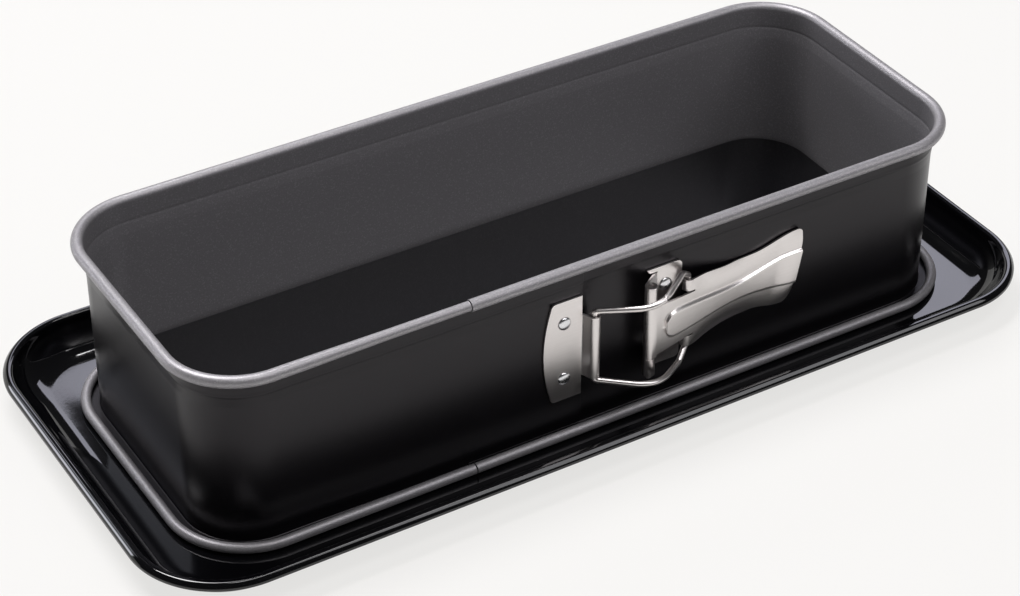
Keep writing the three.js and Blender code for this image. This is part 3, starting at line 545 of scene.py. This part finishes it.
def nickel_material():
    """Satin nickel on cold-rolled steel: streaks along the sheet, fine grain, soft cloudy patches."""
    material, tree, shader = new_finish("satin_nickel", Metallic=1.0)
    grain, patches = grain_over(tree, NICKEL_GRAIN, NICKEL_PATCH)
    sheet = node(tree, "TexCoord").outputs["UV"]
    stretched = node(tree, "Mapping", {"Vector": sheet, "Scale": STREAKS_PER_METRE}).outputs["Vector"]
    noise = node(tree, "TexNoise", {"Vector": stretched, "Scale": 1.0, "Detail": STREAK_DETAIL})
    streaks = noise.outputs["Fac"]
    tone = average(tree, streaks, patches)
    scratches = bump(tree, SCRATCH_STRENGTH, SCRATCH_DEPTH, maths(tree, "ADD", streaks, grain))
    colour = blend_colours(tree, tone, *NICKEL_COLOURS)
    link_finish(tree, shader, colour, spread(tree, tone, *NICKEL_ROUGHNESS), scratches)
    return material


def keeper_points():
    """The keeper's middle surface: rows run from the left edge to the seam, along the strap, round the eye.

    The left edge is a parabola with rounded corners; past the seam only the strap's columns are kept."""
    corner_start = keeper_half - KEEPER_CORNER
    z = np.concatenate([
        np.linspace(0, KEEPER_STRAP_HALF, 12),
        np.linspace(KEEPER_STRAP_HALF, corner_start, 8)[1:],
        np.linspace(corner_start, keeper_half, 9)[1:],
    ])
    z = np.concatenate([-z[:0:-1], z])
    over = np.clip(np.abs(z) - corner_start, 0, KEEPER_CORNER)
    rounding = KEEPER_CORNER - np.sqrt(KEEPER_CORNER ** 2 - over ** 2)
    bow = KEEPER_BOW * np.clip(1 - (z / corner_start) ** 2, 0, 1)
    left = -KEEPER_WIDTH - bow + rounding
    eye = curl(0, keeper_middle, EYE_REACH, EYE_STANDOFF, EYE_RADIUS, EYE_SWEEP)
    bend = eased_corner((-LATCH_SHEET, keeper_middle), (0, keeper_middle), eye[0], STRAP_BEND)
    strap = np.concatenate([bend, eye])
    share = np.linspace(1, 0, 16)[:, None]
    plate = on_wall(bend[0, 0] + (left[None, :] - bend[0, 0]) * share, keeper_middle, z[None, :])
    strip = on_wall(strap[:, :1], strap[:, 1:], z[None, :])
    points = np.concatenate([plate, strip[1:]])
    keep = np.ones((len(points) - 1, len(z) - 1), bool)
    in_strap = np.abs((z[1:] + z[:-1]) / 2) < KEEPER_STRAP_HALF
    keep[len(plate) - 1:] = in_strap[None, :]
    return points, keep


satin_nickel = nickel_material()
keeper_grid, keeper_keep = keeper_points()
keeper = sheet_object(
    "keeper_pressing", keeper_grid, [satin_nickel],
    keep=keeper_keep, thickness=LATCH_SHEET, edge=LATCH_CUT_EDGE,
)
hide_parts("keeper_plate")
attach(keeper, "ring")

# Bail
# One length of nickel-plated wire: straight in the keeper's eye, its two arms bowed out past the hinge, and
# its ends turned in under the lever's hooks.

HINGE_X = 24.0 * MM
HINGE_STANDOFF = 6.6 * MM
KNUCKLE_BORE = 1.4 * MM
KNUCKLE_RADIUS = KNUCKLE_BORE + LATCH_SHEET
HOOK_X = HINGE_X + 17.4 * MM
HOOK_STANDOFF = 3.4 * MM
BAIL_CORNERS = [
    (HOOK_X, HOOK_STANDOFF, 9.5 * MM),
    (HOOK_X, HOOK_STANDOFF, 15.1 * MM),
    (HOOK_X - 4.4 * MM, HOOK_STANDOFF + 2.9 * MM, 18.9 * MM),
    (HINGE_X - 2.6 * MM, HINGE_STANDOFF + KNUCKLE_RADIUS + 7.9 * MM, 16.6 * MM),
    (EYE_REACH, EYE_STANDOFF, 14.5 * MM),
]
BAIL_BENDS = [1.4 * MM, 3.5 * MM, 13.3 * MM, 1.4 * MM]
WIRE_SIDES = 28
WIRE_SIDE_WAY = (1.0, 0.35, 0.12)
WIRE_END_DOME = 0.5


def rounded_route(corners, bends, straight_steps, bend_steps):
    """A route through corner points: straight runs, and a parabola at each inner corner.

    Each parabola starts and ends at bend times tan(half the turn) from its corner."""
    ways = np.diff(corners, axis=0)
    ways /= np.linalg.norm(ways, axis=1, keepdims=True)
    turns = np.arccos(np.clip((ways[:-1] * ways[1:]).sum(axis=1), -1, 1))
    trims = (np.array(bends) * np.tan(turns / 2))[:, None]
    starts = corners[1:-1] - ways[:-1] * trims
    ends = corners[1:-1] + ways[1:] * trims
    curves = parabola(starts[:, None], corners[1:-1, None], ends[:, None], bend_steps)
    run_from = np.concatenate([corners[:1], ends])
    run_to = np.concatenate([starts, corners[-1:]])
    step = np.linspace(0, 1, straight_steps, endpoint=False)[None, :, None]
    runs = run_from[:, None] + (run_to - run_from)[:, None] * step
    pieces = [part for pair in zip(runs[:-1], curves[:, :-1]) for part in pair]
    return np.concatenate([*pieces, runs[-1], corners[-1:]])


def wire_points(route, radius, sides):
    """A round wire along a route: rings of the route's point plus radius times (cos, sin) on two normals.

    The normals stand on the tangent and a fixed side direction, which no run of the wire follows. The ends
    are closed by domed rings."""
    tangent = np.gradient(route, axis=0)
    tangent /= np.linalg.norm(tangent, axis=1, keepdims=True)
    side = np.cross(tangent, [WIRE_SIDE_WAY])
    side /= np.linalg.norm(side, axis=1, keepdims=True)
    rise = np.cross(side, tangent)
    dome = np.radians(np.linspace(90, 0, 7)[:-1])
    dome_radius = radius * np.cos(dome)
    dome_step = (radius * WIRE_END_DOME * (1 - np.sin(dome)))[:, None]
    centres = np.concatenate([
        route[:1] + tangent[:1] * dome_step, route[1:-1], route[-1:] - tangent[-1:] * dome_step[::-1],
    ])
    radii = np.concatenate([dome_radius, np.full(len(route) - 2, radius), dome_radius[::-1]])
    pad = ((len(dome) - 1, len(dome) - 1), (0, 0))
    side = np.pad(side, pad, mode="edge")
    rise = np.pad(rise, pad, mode="edge")
    angle = np.linspace(0, 2 * np.pi, sides + 1)[None, :, None]
    ring_rows = side[:, None] * np.cos(angle) + rise[:, None] * np.sin(angle)
    return centres[:, None] + radii[:, None, None] * ring_rows


bail_arm = np.array(BAIL_CORNERS)
bail_corners = np.concatenate([bail_arm, bail_arm[::-1] * (1, 1, -1)])
bail_route = rounded_route(bail_corners, BAIL_BENDS + BAIL_BENDS[::-1], straight_steps=10, bend_steps=16)
bail_grid = wire_points(on_wall(*bail_route.T), WIRE_DIAMETER / 2, WIRE_SIDES)
bail = sheet_object("bail_wire", bail_grid, [satin_nickel])
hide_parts("latch_bail")
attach(bail, "bail")

# Hinge bracket
# Nickel-plated plate riveted to the wall right of the lap. Two tabs at its left edge stand out from the wall
# and are curled into knuckles for the pin, above and below the lever's own.

BRACKET_RIGHT = HINGE_X + 16.4 * MM
BRACKET_BEND = HINGE_X + 5.6 * MM
BRACKET_BEND_START = BRACKET_BEND + 2 * LATCH_SHEET
BRACKET_BEND_SOFTNESS = 0.4
BRACKET_EAR_X = HINGE_X + 2.0 * MM
BRACKET_CORNER = 2.0 * MM
BRACKET_CURL = 285
TAB_INNER = 11.5 * MM
TAB_OUTER = 18.7 * MM
TAB_RELIEF = 0.3 * MM
EAR_SLOPE = 0.64

bracket_low, bracket_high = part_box("hinge_bracket")
bracket_half = (bracket_high.z - bracket_low.z) / 2
bracket_middle = SEAT_GAP + LATCH_SHEET / 2


def bracket_points():
    """The bracket's middle surface: rows run from the right edge to the bend, then columns go their own way.

    Tab columns curl round the pin, ear columns stay flat to a slanted edge, and the rest end at the bend."""
    corner_start = bracket_half - BRACKET_CORNER
    z = np.concatenate([
        np.linspace(0, TAB_INNER, 8), np.linspace(TAB_INNER, TAB_OUTER, 9)[1:],
        [TAB_OUTER + TAB_RELIEF], np.linspace(TAB_OUTER + TAB_RELIEF, bracket_half, 9)[1:],
    ])
    z = np.concatenate([z[:0:-1], -z])
    over = np.clip(np.abs(z) - corner_start, 0, BRACKET_CORNER)
    right = BRACKET_RIGHT - BRACKET_CORNER + np.sqrt(BRACKET_CORNER ** 2 - over ** 2)
    knuckle_middle = KNUCKLE_BORE + LATCH_SHEET / 2
    eye = curl(BRACKET_BEND, bracket_middle, HINGE_X, HINGE_STANDOFF, knuckle_middle, BRACKET_CURL)
    bend = eased_corner(
        (BRACKET_BEND_START, bracket_middle), (BRACKET_BEND, bracket_middle), eye[0], BRACKET_BEND_SOFTNESS,
    )
    tab = np.concatenate([bend, eye])
    share = np.linspace(0, 1, 12)[:, None]
    plate = on_wall(right[None, :] + (bend[0, 0] - right[None, :]) * share, bracket_middle, z[None, :])
    ear_end = BRACKET_EAR_X + EAR_SLOPE * (bracket_half - np.abs(z))
    ear_share = np.linspace(0, 1, len(tab))[:, None]
    ear_x = bend[0, 0] + (ear_end[None, :] - bend[0, 0]) * ear_share
    in_ear = (np.abs(z) > TAB_OUTER + TAB_RELIEF / 2)[None, :]
    beyond = on_wall(
        np.where(in_ear, ear_x, tab[:, :1]), np.where(in_ear, bracket_middle, tab[:, 1:]), z[None, :],
    )
    points = np.concatenate([plate, beyond[1:]])
    keep = np.ones((len(points) - 1, len(z) - 1), bool)
    mid = np.abs((z[1:] + z[:-1]) / 2)
    in_relief = (mid > TAB_OUTER) & (mid < TAB_OUTER + TAB_RELIEF)
    keep[len(plate) - 1:] = ((mid > TAB_INNER) & ~in_relief)[None, :]
    return points, keep


bracket_grid, bracket_keep = bracket_points()
bracket = sheet_object(
    "bracket_pressing", bracket_grid, [satin_nickel],
    keep=bracket_keep, thickness=LATCH_SHEET, edge=LATCH_CUT_EDGE,
)
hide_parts("hinge_bracket")
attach(bracket, "ring")

# Hinge pin
# A plain plated steel pin, chamfered at both ends. It is pushed through the bracket's and the lever's
# knuckles, and only its end shows.

PIN_RADIUS = 1.25 * MM
PIN_CHAMFER = 0.3 * MM
PIN_CUT_EDGE = 0.06 * MM
TURNED_SIDES = 48

pin_low, pin_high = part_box("hinge_pin")


def turned_points(profile, sides):
    """A turned shape: each profile point's radius times (cos, sin) round the axis, and its height on it."""
    radius, height = np.array(profile).T[:, :, None]
    angle = np.linspace(0, 2 * np.pi, sides + 1)[None, :]
    return radius * np.cos(angle), radius * np.sin(angle), np.broadcast_to(height, (len(profile), sides + 1))


pin_profile = [
    (0, pin_low.z), (PIN_RADIUS - PIN_CHAMFER, pin_low.z), (PIN_RADIUS, pin_low.z + PIN_CHAMFER),
    (PIN_RADIUS, pin_high.z - PIN_CHAMFER), (PIN_RADIUS - PIN_CHAMFER, pin_high.z), (0, pin_high.z),
]
pin_x, pin_y, pin_z = turned_points(pin_profile, TURNED_SIDES)
pin_grid = np.stack([SEAM_X + HINGE_X + pin_x, -WALL_FACE - HINGE_STANDOFF + pin_y, pin_z], axis=-1)
pin = sheet_object("pin", pin_grid.transpose(1, 0, 2), [satin_nickel], edge=PIN_CUT_EDGE, edge_steps=2)
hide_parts("hinge_pin")
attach(pin, "ring")

# Lever
# A nickel-plated pressing. Its root is rolled round the pin, a raised panel stiffens it, slits part two side
# bands whose ends are curled into hooks over the bail's ends, and it flares into a slanted thumb paddle.

LEVER_LENGTH = 65.4 * MM
LEVER_REST = 44.0 * MM
WALL_GAP = 0.5 * MM
LEVEL_SOFTNESS = 0.2
KNUCKLE_HALF = 11.2 * MM
KNUCKLE_LENGTH = 2.0 * MM
KNUCKLE_ROWS = [0, 1.9 * MM, 2.3 * MM]
KNUCKLE_SWEEP = 300
ROOT_START = 3.4 * MM
ROOT_HALF = 10.3 * MM
ROOT_HALF_AT_SLIT = 9.0 * MM
SLIT_END = 19.15 * MM
SLIT_WIDTH = 0.6 * MM
SHOULDER_HALF = 14.0 * MM
WAIST_HALF = 11.9 * MM
WAIST = 36.0 * MM
FLARE = 46.0 * MM
PADDLE_HALF = 14.8 * MM
PADDLE_CORNER = 3.0 * MM
PADDLE_LIFT = 0.9 * MM
PADDLE_LIFT_LENGTH = 10.0 * MM
PADDLE_OFFSET = 1.1 * MM
PADDLE_SLOPE = 0.19
BAND_LEAST = 1.0 * MM
BAND_DROP = 0.9 * MM
BAND_DROP_LENGTH = 10.0 * MM
BAND_CROWN = 0.3 * MM
BAND_CURVE = 2.36
PANEL_START = 5.4 * MM
PANEL_ROOT_HALF = 4.8 * MM
PANEL_WAIST_HALF = 2.9 * MM
PANEL_WAIST = 38.0 * MM
PANEL_PADDLE_HALF = 6.2 * MM
PANEL_LEAST_HALF = 0.001 * MM
PANEL_RISE = 1.1 * MM
PANEL_BEVEL = 0.9 * MM
HOOK_REACH = HOOK_X - HINGE_X
HOOK_CLEARANCE = 0.35 * MM
HOOK_RADIUS = WIRE_DIAMETER / 2 + HOOK_CLEARANCE + LATCH_SHEET
HOOK_SWEEP = 102
HOOK_EASE_ROWS = 3
PANEL_COLUMNS = 8
BEVEL_COLUMNS = 10
FLAT_COLUMNS = 8
BAND_COLUMNS = 12


def lever_base(u):
    """The outer face's distance from the wall: a soft ramp from the knuckle's top to the lever's rest."""
    start = HINGE_STANDOFF + KNUCKLE_RADIUS
    rest = LATCH_SHEET + WALL_GAP
    left = 1 - u / LEVER_REST
    ramp = (left + np.hypot(left, LEVEL_SOFTNESS)) / 2
    lift = PADDLE_LIFT * smooth(u, LEVER_LENGTH - PADDLE_LIFT_LENGTH, LEVER_LENGTH)
    return rest + (start - rest) * ramp + lift


def lever_edge(u):
    """The lever's half width past the slits: shoulder, waist and paddle, joined smoothly, round corners."""
    corner_start = LEVER_LENGTH - PADDLE_CORNER
    narrowed = SHOULDER_HALF + (WAIST_HALF - SHOULDER_HALF) * smooth(u, HOOK_REACH, WAIST)
    half = narrowed + (PADDLE_HALF - narrowed) * smooth(u, FLARE, corner_start)
    over = np.clip(u - corner_start, 0, PADDLE_CORNER)
    return half - PADDLE_CORNER + np.sqrt(PADDLE_CORNER ** 2 - over ** 2)


def panel_half(u):
    """The raised panel's half width: a round start, a waist, and a flare towards the paddle."""
    centre = PANEL_START + PANEL_ROOT_HALF
    short = np.clip(centre - u, 0, PANEL_ROOT_HALF)
    rounded = np.sqrt(PANEL_ROOT_HALF ** 2 - short ** 2)
    narrowed = rounded + (PANEL_WAIST_HALF - rounded) * smooth(u, centre, PANEL_WAIST)
    return narrowed + (PANEL_PADDLE_HALF - narrowed) * smooth(u, PANEL_WAIST, LEVER_LENGTH)


def lever_points():
    """The lever's outer face on a grid of places along it and across it.

    Rows run from the rolled root to the paddle's end. Across, the half section goes panel, bevel, flat,
    slit and side band; the panel's bevel is a smooth step and the band drops as a power of its width. Up
    to the slits' ends the band's rows are bent into the hooks instead."""
    root_u = np.concatenate([KNUCKLE_ROWS, np.linspace(ROOT_START, SLIT_END, 34)])
    paddle_u = LEVER_LENGTH - PADDLE_CORNER
    round_end = paddle_u + PADDLE_CORNER * np.sin(np.radians(np.linspace(0, 90, 12)))
    u = np.concatenate([root_u, np.linspace(SLIT_END, paddle_u, 70)[1:-1], round_end])[:, None]
    panel = np.maximum(panel_half(u), PANEL_LEAST_HALF)
    foot = panel + PANEL_BEVEL
    root_edge = ROOT_HALF + (ROOT_HALF_AT_SLIT - ROOT_HALF) * np.clip(u / HOOK_REACH, 0, 1)
    root_edge = np.where(u < KNUCKLE_LENGTH, KNUCKLE_HALF, root_edge)
    band_inner = np.maximum(root_edge, ROOT_HALF_AT_SLIT) + SLIT_WIDTH
    edge = np.maximum(lever_edge(u), band_inner + BAND_LEAST)

    def between(low, high, count):
        return low + (high - low) * np.linspace(0, 1, count)[None, :]

    half = np.concatenate([
        between(0 * panel, panel, PANEL_COLUMNS)[:, :-1],
        between(panel, foot, BEVEL_COLUMNS)[:, :-1],
        between(foot, root_edge, FLAT_COLUMNS),
        between(band_inner, edge, BAND_COLUMNS),
    ], axis=1)
    root_column = PANEL_COLUMNS + BEVEL_COLUMNS + FLAT_COLUMNS - 3
    rise = PANEL_RISE * smooth(u, PANEL_START - PANEL_BEVEL / 2, PANEL_START + PANEL_BEVEL / 2)
    step = rise * (1 - smooth(half, panel, foot))
    drop = BAND_CROWN + BAND_DROP * smooth(u, HOOK_REACH, HOOK_REACH + BAND_DROP_LENGTH)
    drop = np.minimum(drop, lever_base(u) - LATCH_SHEET - WALL_GAP)
    level = lever_base(u) + step - drop * np.clip((half - foot) / (edge - foot), 0, 1) ** BAND_CURVE
    along = np.repeat(u, half.shape[1], axis=1)

    slit_row = len(root_u) - 1
    hook = arc(HOOK_REACH, HOOK_STANDOFF, HOOK_RADIUS, 90 + HOOK_SWEEP, 90, slit_row - HOOK_EASE_ROWS)
    band = slice(root_column + 1, None)
    ease = np.linspace(0, 1, HOOK_EASE_ROWS + 2)[1:-1, None]
    level_at_slit = level[slit_row, band][None, :]
    along[:slit_row, band] = np.concatenate([hook[:, :1], HOOK_REACH + (SLIT_END - HOOK_REACH) * ease])
    level[:slit_row, band] = np.concatenate([
        np.repeat(hook[:, 1:], level_at_slit.shape[1], axis=1),
        hook[-1, 1] + (level_at_slit - hook[-1, 1]) * smooth(ease, 0, 1),
    ])
    half[:slit_row, band] = half[slit_row, band]

    roll = arc(0, HINGE_STANDOFF, KNUCKLE_RADIUS, 90 + KNUCKLE_SWEEP, 90, count=48)[:-1]
    along = np.concatenate([np.repeat(roll[:, :1], half.shape[1], axis=1), along])
    level = np.concatenate([np.repeat(roll[:, 1:], half.shape[1], axis=1), level])
    half = np.concatenate([np.repeat(half[:1], len(roll), axis=0), half])

    def both(values, sign):
        return np.concatenate([sign * values[:, :0:-1], values], axis=1)

    along, level, across = both(along, 1), both(level, 1), both(half, -1)
    share = smooth(along, WAIST, LEVER_LENGTH)
    points = on_wall(
        HINGE_X + along + share * PADDLE_SLOPE * across, level, across + share * PADDLE_OFFSET,
    )
    rows, columns = points.shape[0] - 1, points.shape[1] - 1
    keep = np.ones((rows, columns), bool)
    slit_cells = [columns // 2 + root_column, columns // 2 - 1 - root_column]
    keep[:len(roll) + slit_row, slit_cells] = False
    keep[:len(roll), slit_cells[0]:] = False
    keep[:len(roll), :slit_cells[1] + 1] = False
    return points, keep


lever_grid, lever_keep = lever_points()
lever = sheet_object(
    "lever_pressing", lever_grid, [satin_nickel],
    keep=lever_keep, thickness=LATCH_SHEET, side=-1, edge=LATCH_CUT_EDGE,
)
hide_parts("latch_lever")
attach(lever, "lever")

# Rivets
# Four bright aluminium rivets: two hold the keeper to the lap, two hold the bracket to the wall. Their heads
# are low domes pressed on the plates, and the bracket's have flat tails inside the pan.

RIVET_HEAD = 2.5 * MM
RIVET_DOME = 0.9 * MM
RIVET_SHANK = 1.1 * MM
RIVET_TAIL = 0.5 * MM
RIVET_CUT_EDGE = 0.08 * MM
RIVET_STEPS = 12
RIVET_COLOURS = [(0.66, 0.67, 0.69), (0.86, 0.86, 0.87)]
RIVET_ROUGHNESS = (0.16, 0.34)
RIVET_GRAIN = 0.25 * MM
DENT_SIZE = 1.3 * MM
DENT_STRENGTH = 0.25
DENT_DEPTH = 0.12 * MM


def rivet_material():
    """Bright aluminium as the press leaves it: soft grain in the gloss, and shallow dents in the bump."""
    material, tree, shader = new_finish("bright_rivet", Metallic=1.0)
    grain, patches = grain_over(tree, RIVET_GRAIN, DENT_SIZE)
    dents = bump(tree, DENT_STRENGTH, DENT_DEPTH, patches)
    colour = blend_colours(tree, patches, *RIVET_COLOURS)
    link_finish(tree, shader, colour, spread(tree, grain, *RIVET_ROUGHNESS), dents)
    return material


bright_rivet = rivet_material()
dome_turn = np.radians(np.linspace(0, 90, RIVET_STEPS))
rivet_head = np.stack([RIVET_HEAD * np.sin(dome_turn), RIVET_DOME * (1 - np.cos(dome_turn))], axis=1)
for rivet_node in ["keeper_rivet_upper", "keeper_rivet_lower", "bracket_rivet_upper", "bracket_rivet_lower"]:
    low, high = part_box(rivet_node)
    length = high.y - low.y
    shank = [(RIVET_SHANK, RIVET_DOME), (RIVET_SHANK, length)]
    if rivet_node.startswith("bracket"):
        tail_start = length - RIVET_TAIL
        shank[1:] = [(RIVET_SHANK, tail_start), (RIVET_HEAD, tail_start), (RIVET_HEAD, length)]
    rivet_profile = np.concatenate([rivet_head, shank, [(0, length)]])
    across, up, depth = turned_points(rivet_profile, TURNED_SIDES)
    rivet_grid = np.stack([(low.x + high.x) / 2 + across, low.y + depth, (low.z + high.z) / 2 + up], axis=-1)
    rivet = sheet_object(
        rivet_node + "_head", rivet_grid, [bright_rivet], edge=RIVET_CUT_EDGE, edge_steps=2,
    )
    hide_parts(rivet_node)
    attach(rivet, "ring")

# Studio
# A pale sweep lies under the pan and rises behind it. High softboxes before and behind leave the zenith
# dark, so the enamel stays black from above. One at front right lights the tray's lip and the latch, and
# strips behind and low at the left draw the gleam in the gutter.

FLOOR_HALF = 6.0
FLOOR_DROP = 0.2 * MM
FLOOR_ROUGHNESS = 0.9
FLOOR_COLOUR = (0.947, 0.939, 0.922)
GLOW_STRENGTH = 0.92
GLOW_SHARE = 0.85
BACKDROP_Y = 3.0
BACKDROP_BEND = 0.6
BACKDROP_TOP = 1.1
WORLD_COLOUR = (0.98, 0.98, 1.0)
WORLD_STRENGTH = 0.05


def floor_material():
    """A pale sweep: seen directly or in reflections it glows at its own colour, for a share of its look.

    The rest of the look is lit by the lamps, so the pan's shadow shows on it."""
    material, tree, shader = new_finish(
        "pale_floor", Base_Color=(*FLOOR_COLOUR, 1), Roughness=FLOOR_ROUGHNESS, Specular_IOR_Level=0.0,
    )
    glow = node(tree, "Emission", {"Color": (*FLOOR_COLOUR, 1), "Strength": GLOW_STRENGTH})
    path = node(tree, "LightPath").outputs
    seen = maths(tree, "MAXIMUM", path["Is Camera Ray"], path["Is Glossy Ray"])
    seen = maths(tree, "MAXIMUM", seen, path["Is Transmission Ray"])
    share = maths(tree, "MULTIPLY", seen, GLOW_SHARE)
    mix = node(tree, "MixShader", {0: share, 1: shader.outputs[0], 2: glow.outputs[0]})
    tree.links.new(mix.outputs[0], tree.nodes["Material Output"].inputs["Surface"])
    return material


sweep = np.concatenate([
    [(-FLOOR_HALF, -FLOOR_DROP)],
    arc(BACKDROP_Y - BACKDROP_BEND, BACKDROP_BEND - FLOOR_DROP, BACKDROP_BEND, -90, 0, count=16),
    [(BACKDROP_Y, BACKDROP_TOP)],
])
sweep_left = np.insert(sweep, 0, -FLOOR_HALF, axis=1)
sweep_right = np.insert(sweep, 0, FLOOR_HALF, axis=1)
sweep_index = np.arange(len(sweep))
sweep_faces = np.stack([
    sweep_index[:-1], sweep_index[:-1] + len(sweep), sweep_index[1:] + len(sweep), sweep_index[1:],
], axis=1)
floor_mesh = bpy.data.meshes.new("floor")
floor_mesh.from_pydata(np.concatenate([sweep_left, sweep_right]), [], sweep_faces)
floor_mesh.polygons.foreach_set("use_smooth", np.ones(len(sweep_faces), bool))
floor_mesh.materials.append(floor_material())
floor = bpy.data.objects.new("floor", floor_mesh)
bpy.context.scene.collection.objects.link(floor)

world = bpy.data.worlds.new("studio")
bpy.context.scene.world = world
world.use_nodes = True
sky = world.node_tree
seen_directly = node(sky, "LightPath").outputs["Is Camera Ray"]
sky_light = sky.nodes["Background"]
sky_light.inputs["Color"].default_value = (*WORLD_COLOUR, 1)
sky_light.inputs["Strength"].default_value = WORLD_STRENGTH
sky_white = node(sky, "Background", {"Color": (*FLOOR_COLOUR, 1), "Strength": 1.0})
sky_mix = node(sky, "MixShader", {0: seen_directly, 1: sky_light.outputs[0], 2: sky_white.outputs[0]})
sky.links.new(sky_mix.outputs[0], sky.nodes["World Output"].inputs["Surface"])


def way_from_pan(azimuth, elevation):
    """The unit way out from the pan at an azimuth (0 is +Y, behind it, and 90 is +X) and an elevation."""
    turn = math.radians(azimuth)
    rise = math.radians(elevation)
    return Vector((math.sin(turn) * math.cos(rise), math.cos(turn) * math.cos(rise), math.sin(rise)))


def softbox(name, azimuth, elevation, distance, width, height, power, colour):
    """A rectangular lamp, its sizes in metres and its power in watts, that faces the pan from a way out."""
    lamp = bpy.data.lights.new(name, "AREA")
    lamp.shape = "RECTANGLE"
    lamp.size = width
    lamp.size_y = height
    lamp.energy = power
    lamp.color = colour
    placed = bpy.data.objects.new(name, lamp)
    way = way_from_pan(azimuth, elevation)
    placed.location = way * distance
    placed.rotation_mode = "QUATERNION"
    placed.rotation_quaternion = (-way).to_track_quat("-Z", "Y")
    bpy.context.scene.collection.objects.link(placed)


softbox("back_high_softbox", -16, 67, 1.8, 1.1, 0.6, 38, (1.0, 0.985, 1.0))
softbox("front_high_softbox", 165, 70, 1.8, 1.1, 0.5, 11, (1.0, 0.985, 1.0))
softbox("front_right_softbox", 142, 40, 1.8, 0.75, 0.85, 5.4, (0.97, 0.965, 1.0))
softbox("back_right_strip", 33, 35.8, 2.0, 1.2, 0.23, 2.9, (0.86, 0.86, 1.0))
softbox("back_left_strip", -24, 39, 2.0, 0.7, 0.3, 2.6, (0.86, 0.89, 1.0))
softbox("low_left_strip", -43, 14, 2.0, 0.6, 0.4, 4.6, (0.90, 0.91, 1.0))

# Camera
# It stands at the photograph's view: before the pan and to its left, looking down. Its place, roll and focal
# length come from a fit of the beads and the tray's rim to the photograph's frame.

CAMERA_AZIMUTH = 211.03
CAMERA_ELEVATION = 35.79
CAMERA_ROLL = -0.006
CAMERA_DISTANCE = 1.0033
CAMERA_TARGET = Vector((8.34 * MM, 22.24 * MM, 0))
CAMERA_NEAR = 0.01
SENSOR_WIDTH = 36.0
PHOTO_WIDTH = 1020
FOCAL_PIXELS = 2695

camera = bpy.data.cameras.new("camera")
camera.sensor_width = SENSOR_WIDTH
camera.lens = SENSOR_WIDTH * FOCAL_PIXELS / PHOTO_WIDTH
camera.clip_start = CAMERA_NEAR
camera_object = bpy.data.objects.new("camera", camera)
camera_way = way_from_pan(CAMERA_AZIMUTH, CAMERA_ELEVATION)
camera_object.location = CAMERA_TARGET + camera_way * CAMERA_DISTANCE
camera_aim = (-camera_way).to_track_quat("-Z", "Y").to_matrix()
camera_roll = Matrix.Rotation(math.radians(CAMERA_ROLL), 3, "Z")
camera_object.rotation_euler = (camera_aim @ camera_roll).to_euler()
bpy.context.scene.collection.objects.link(camera_object)
bpy.context.scene.camera = camera_object
bpy.context.scene.view_settings.view_transform = "Standard"
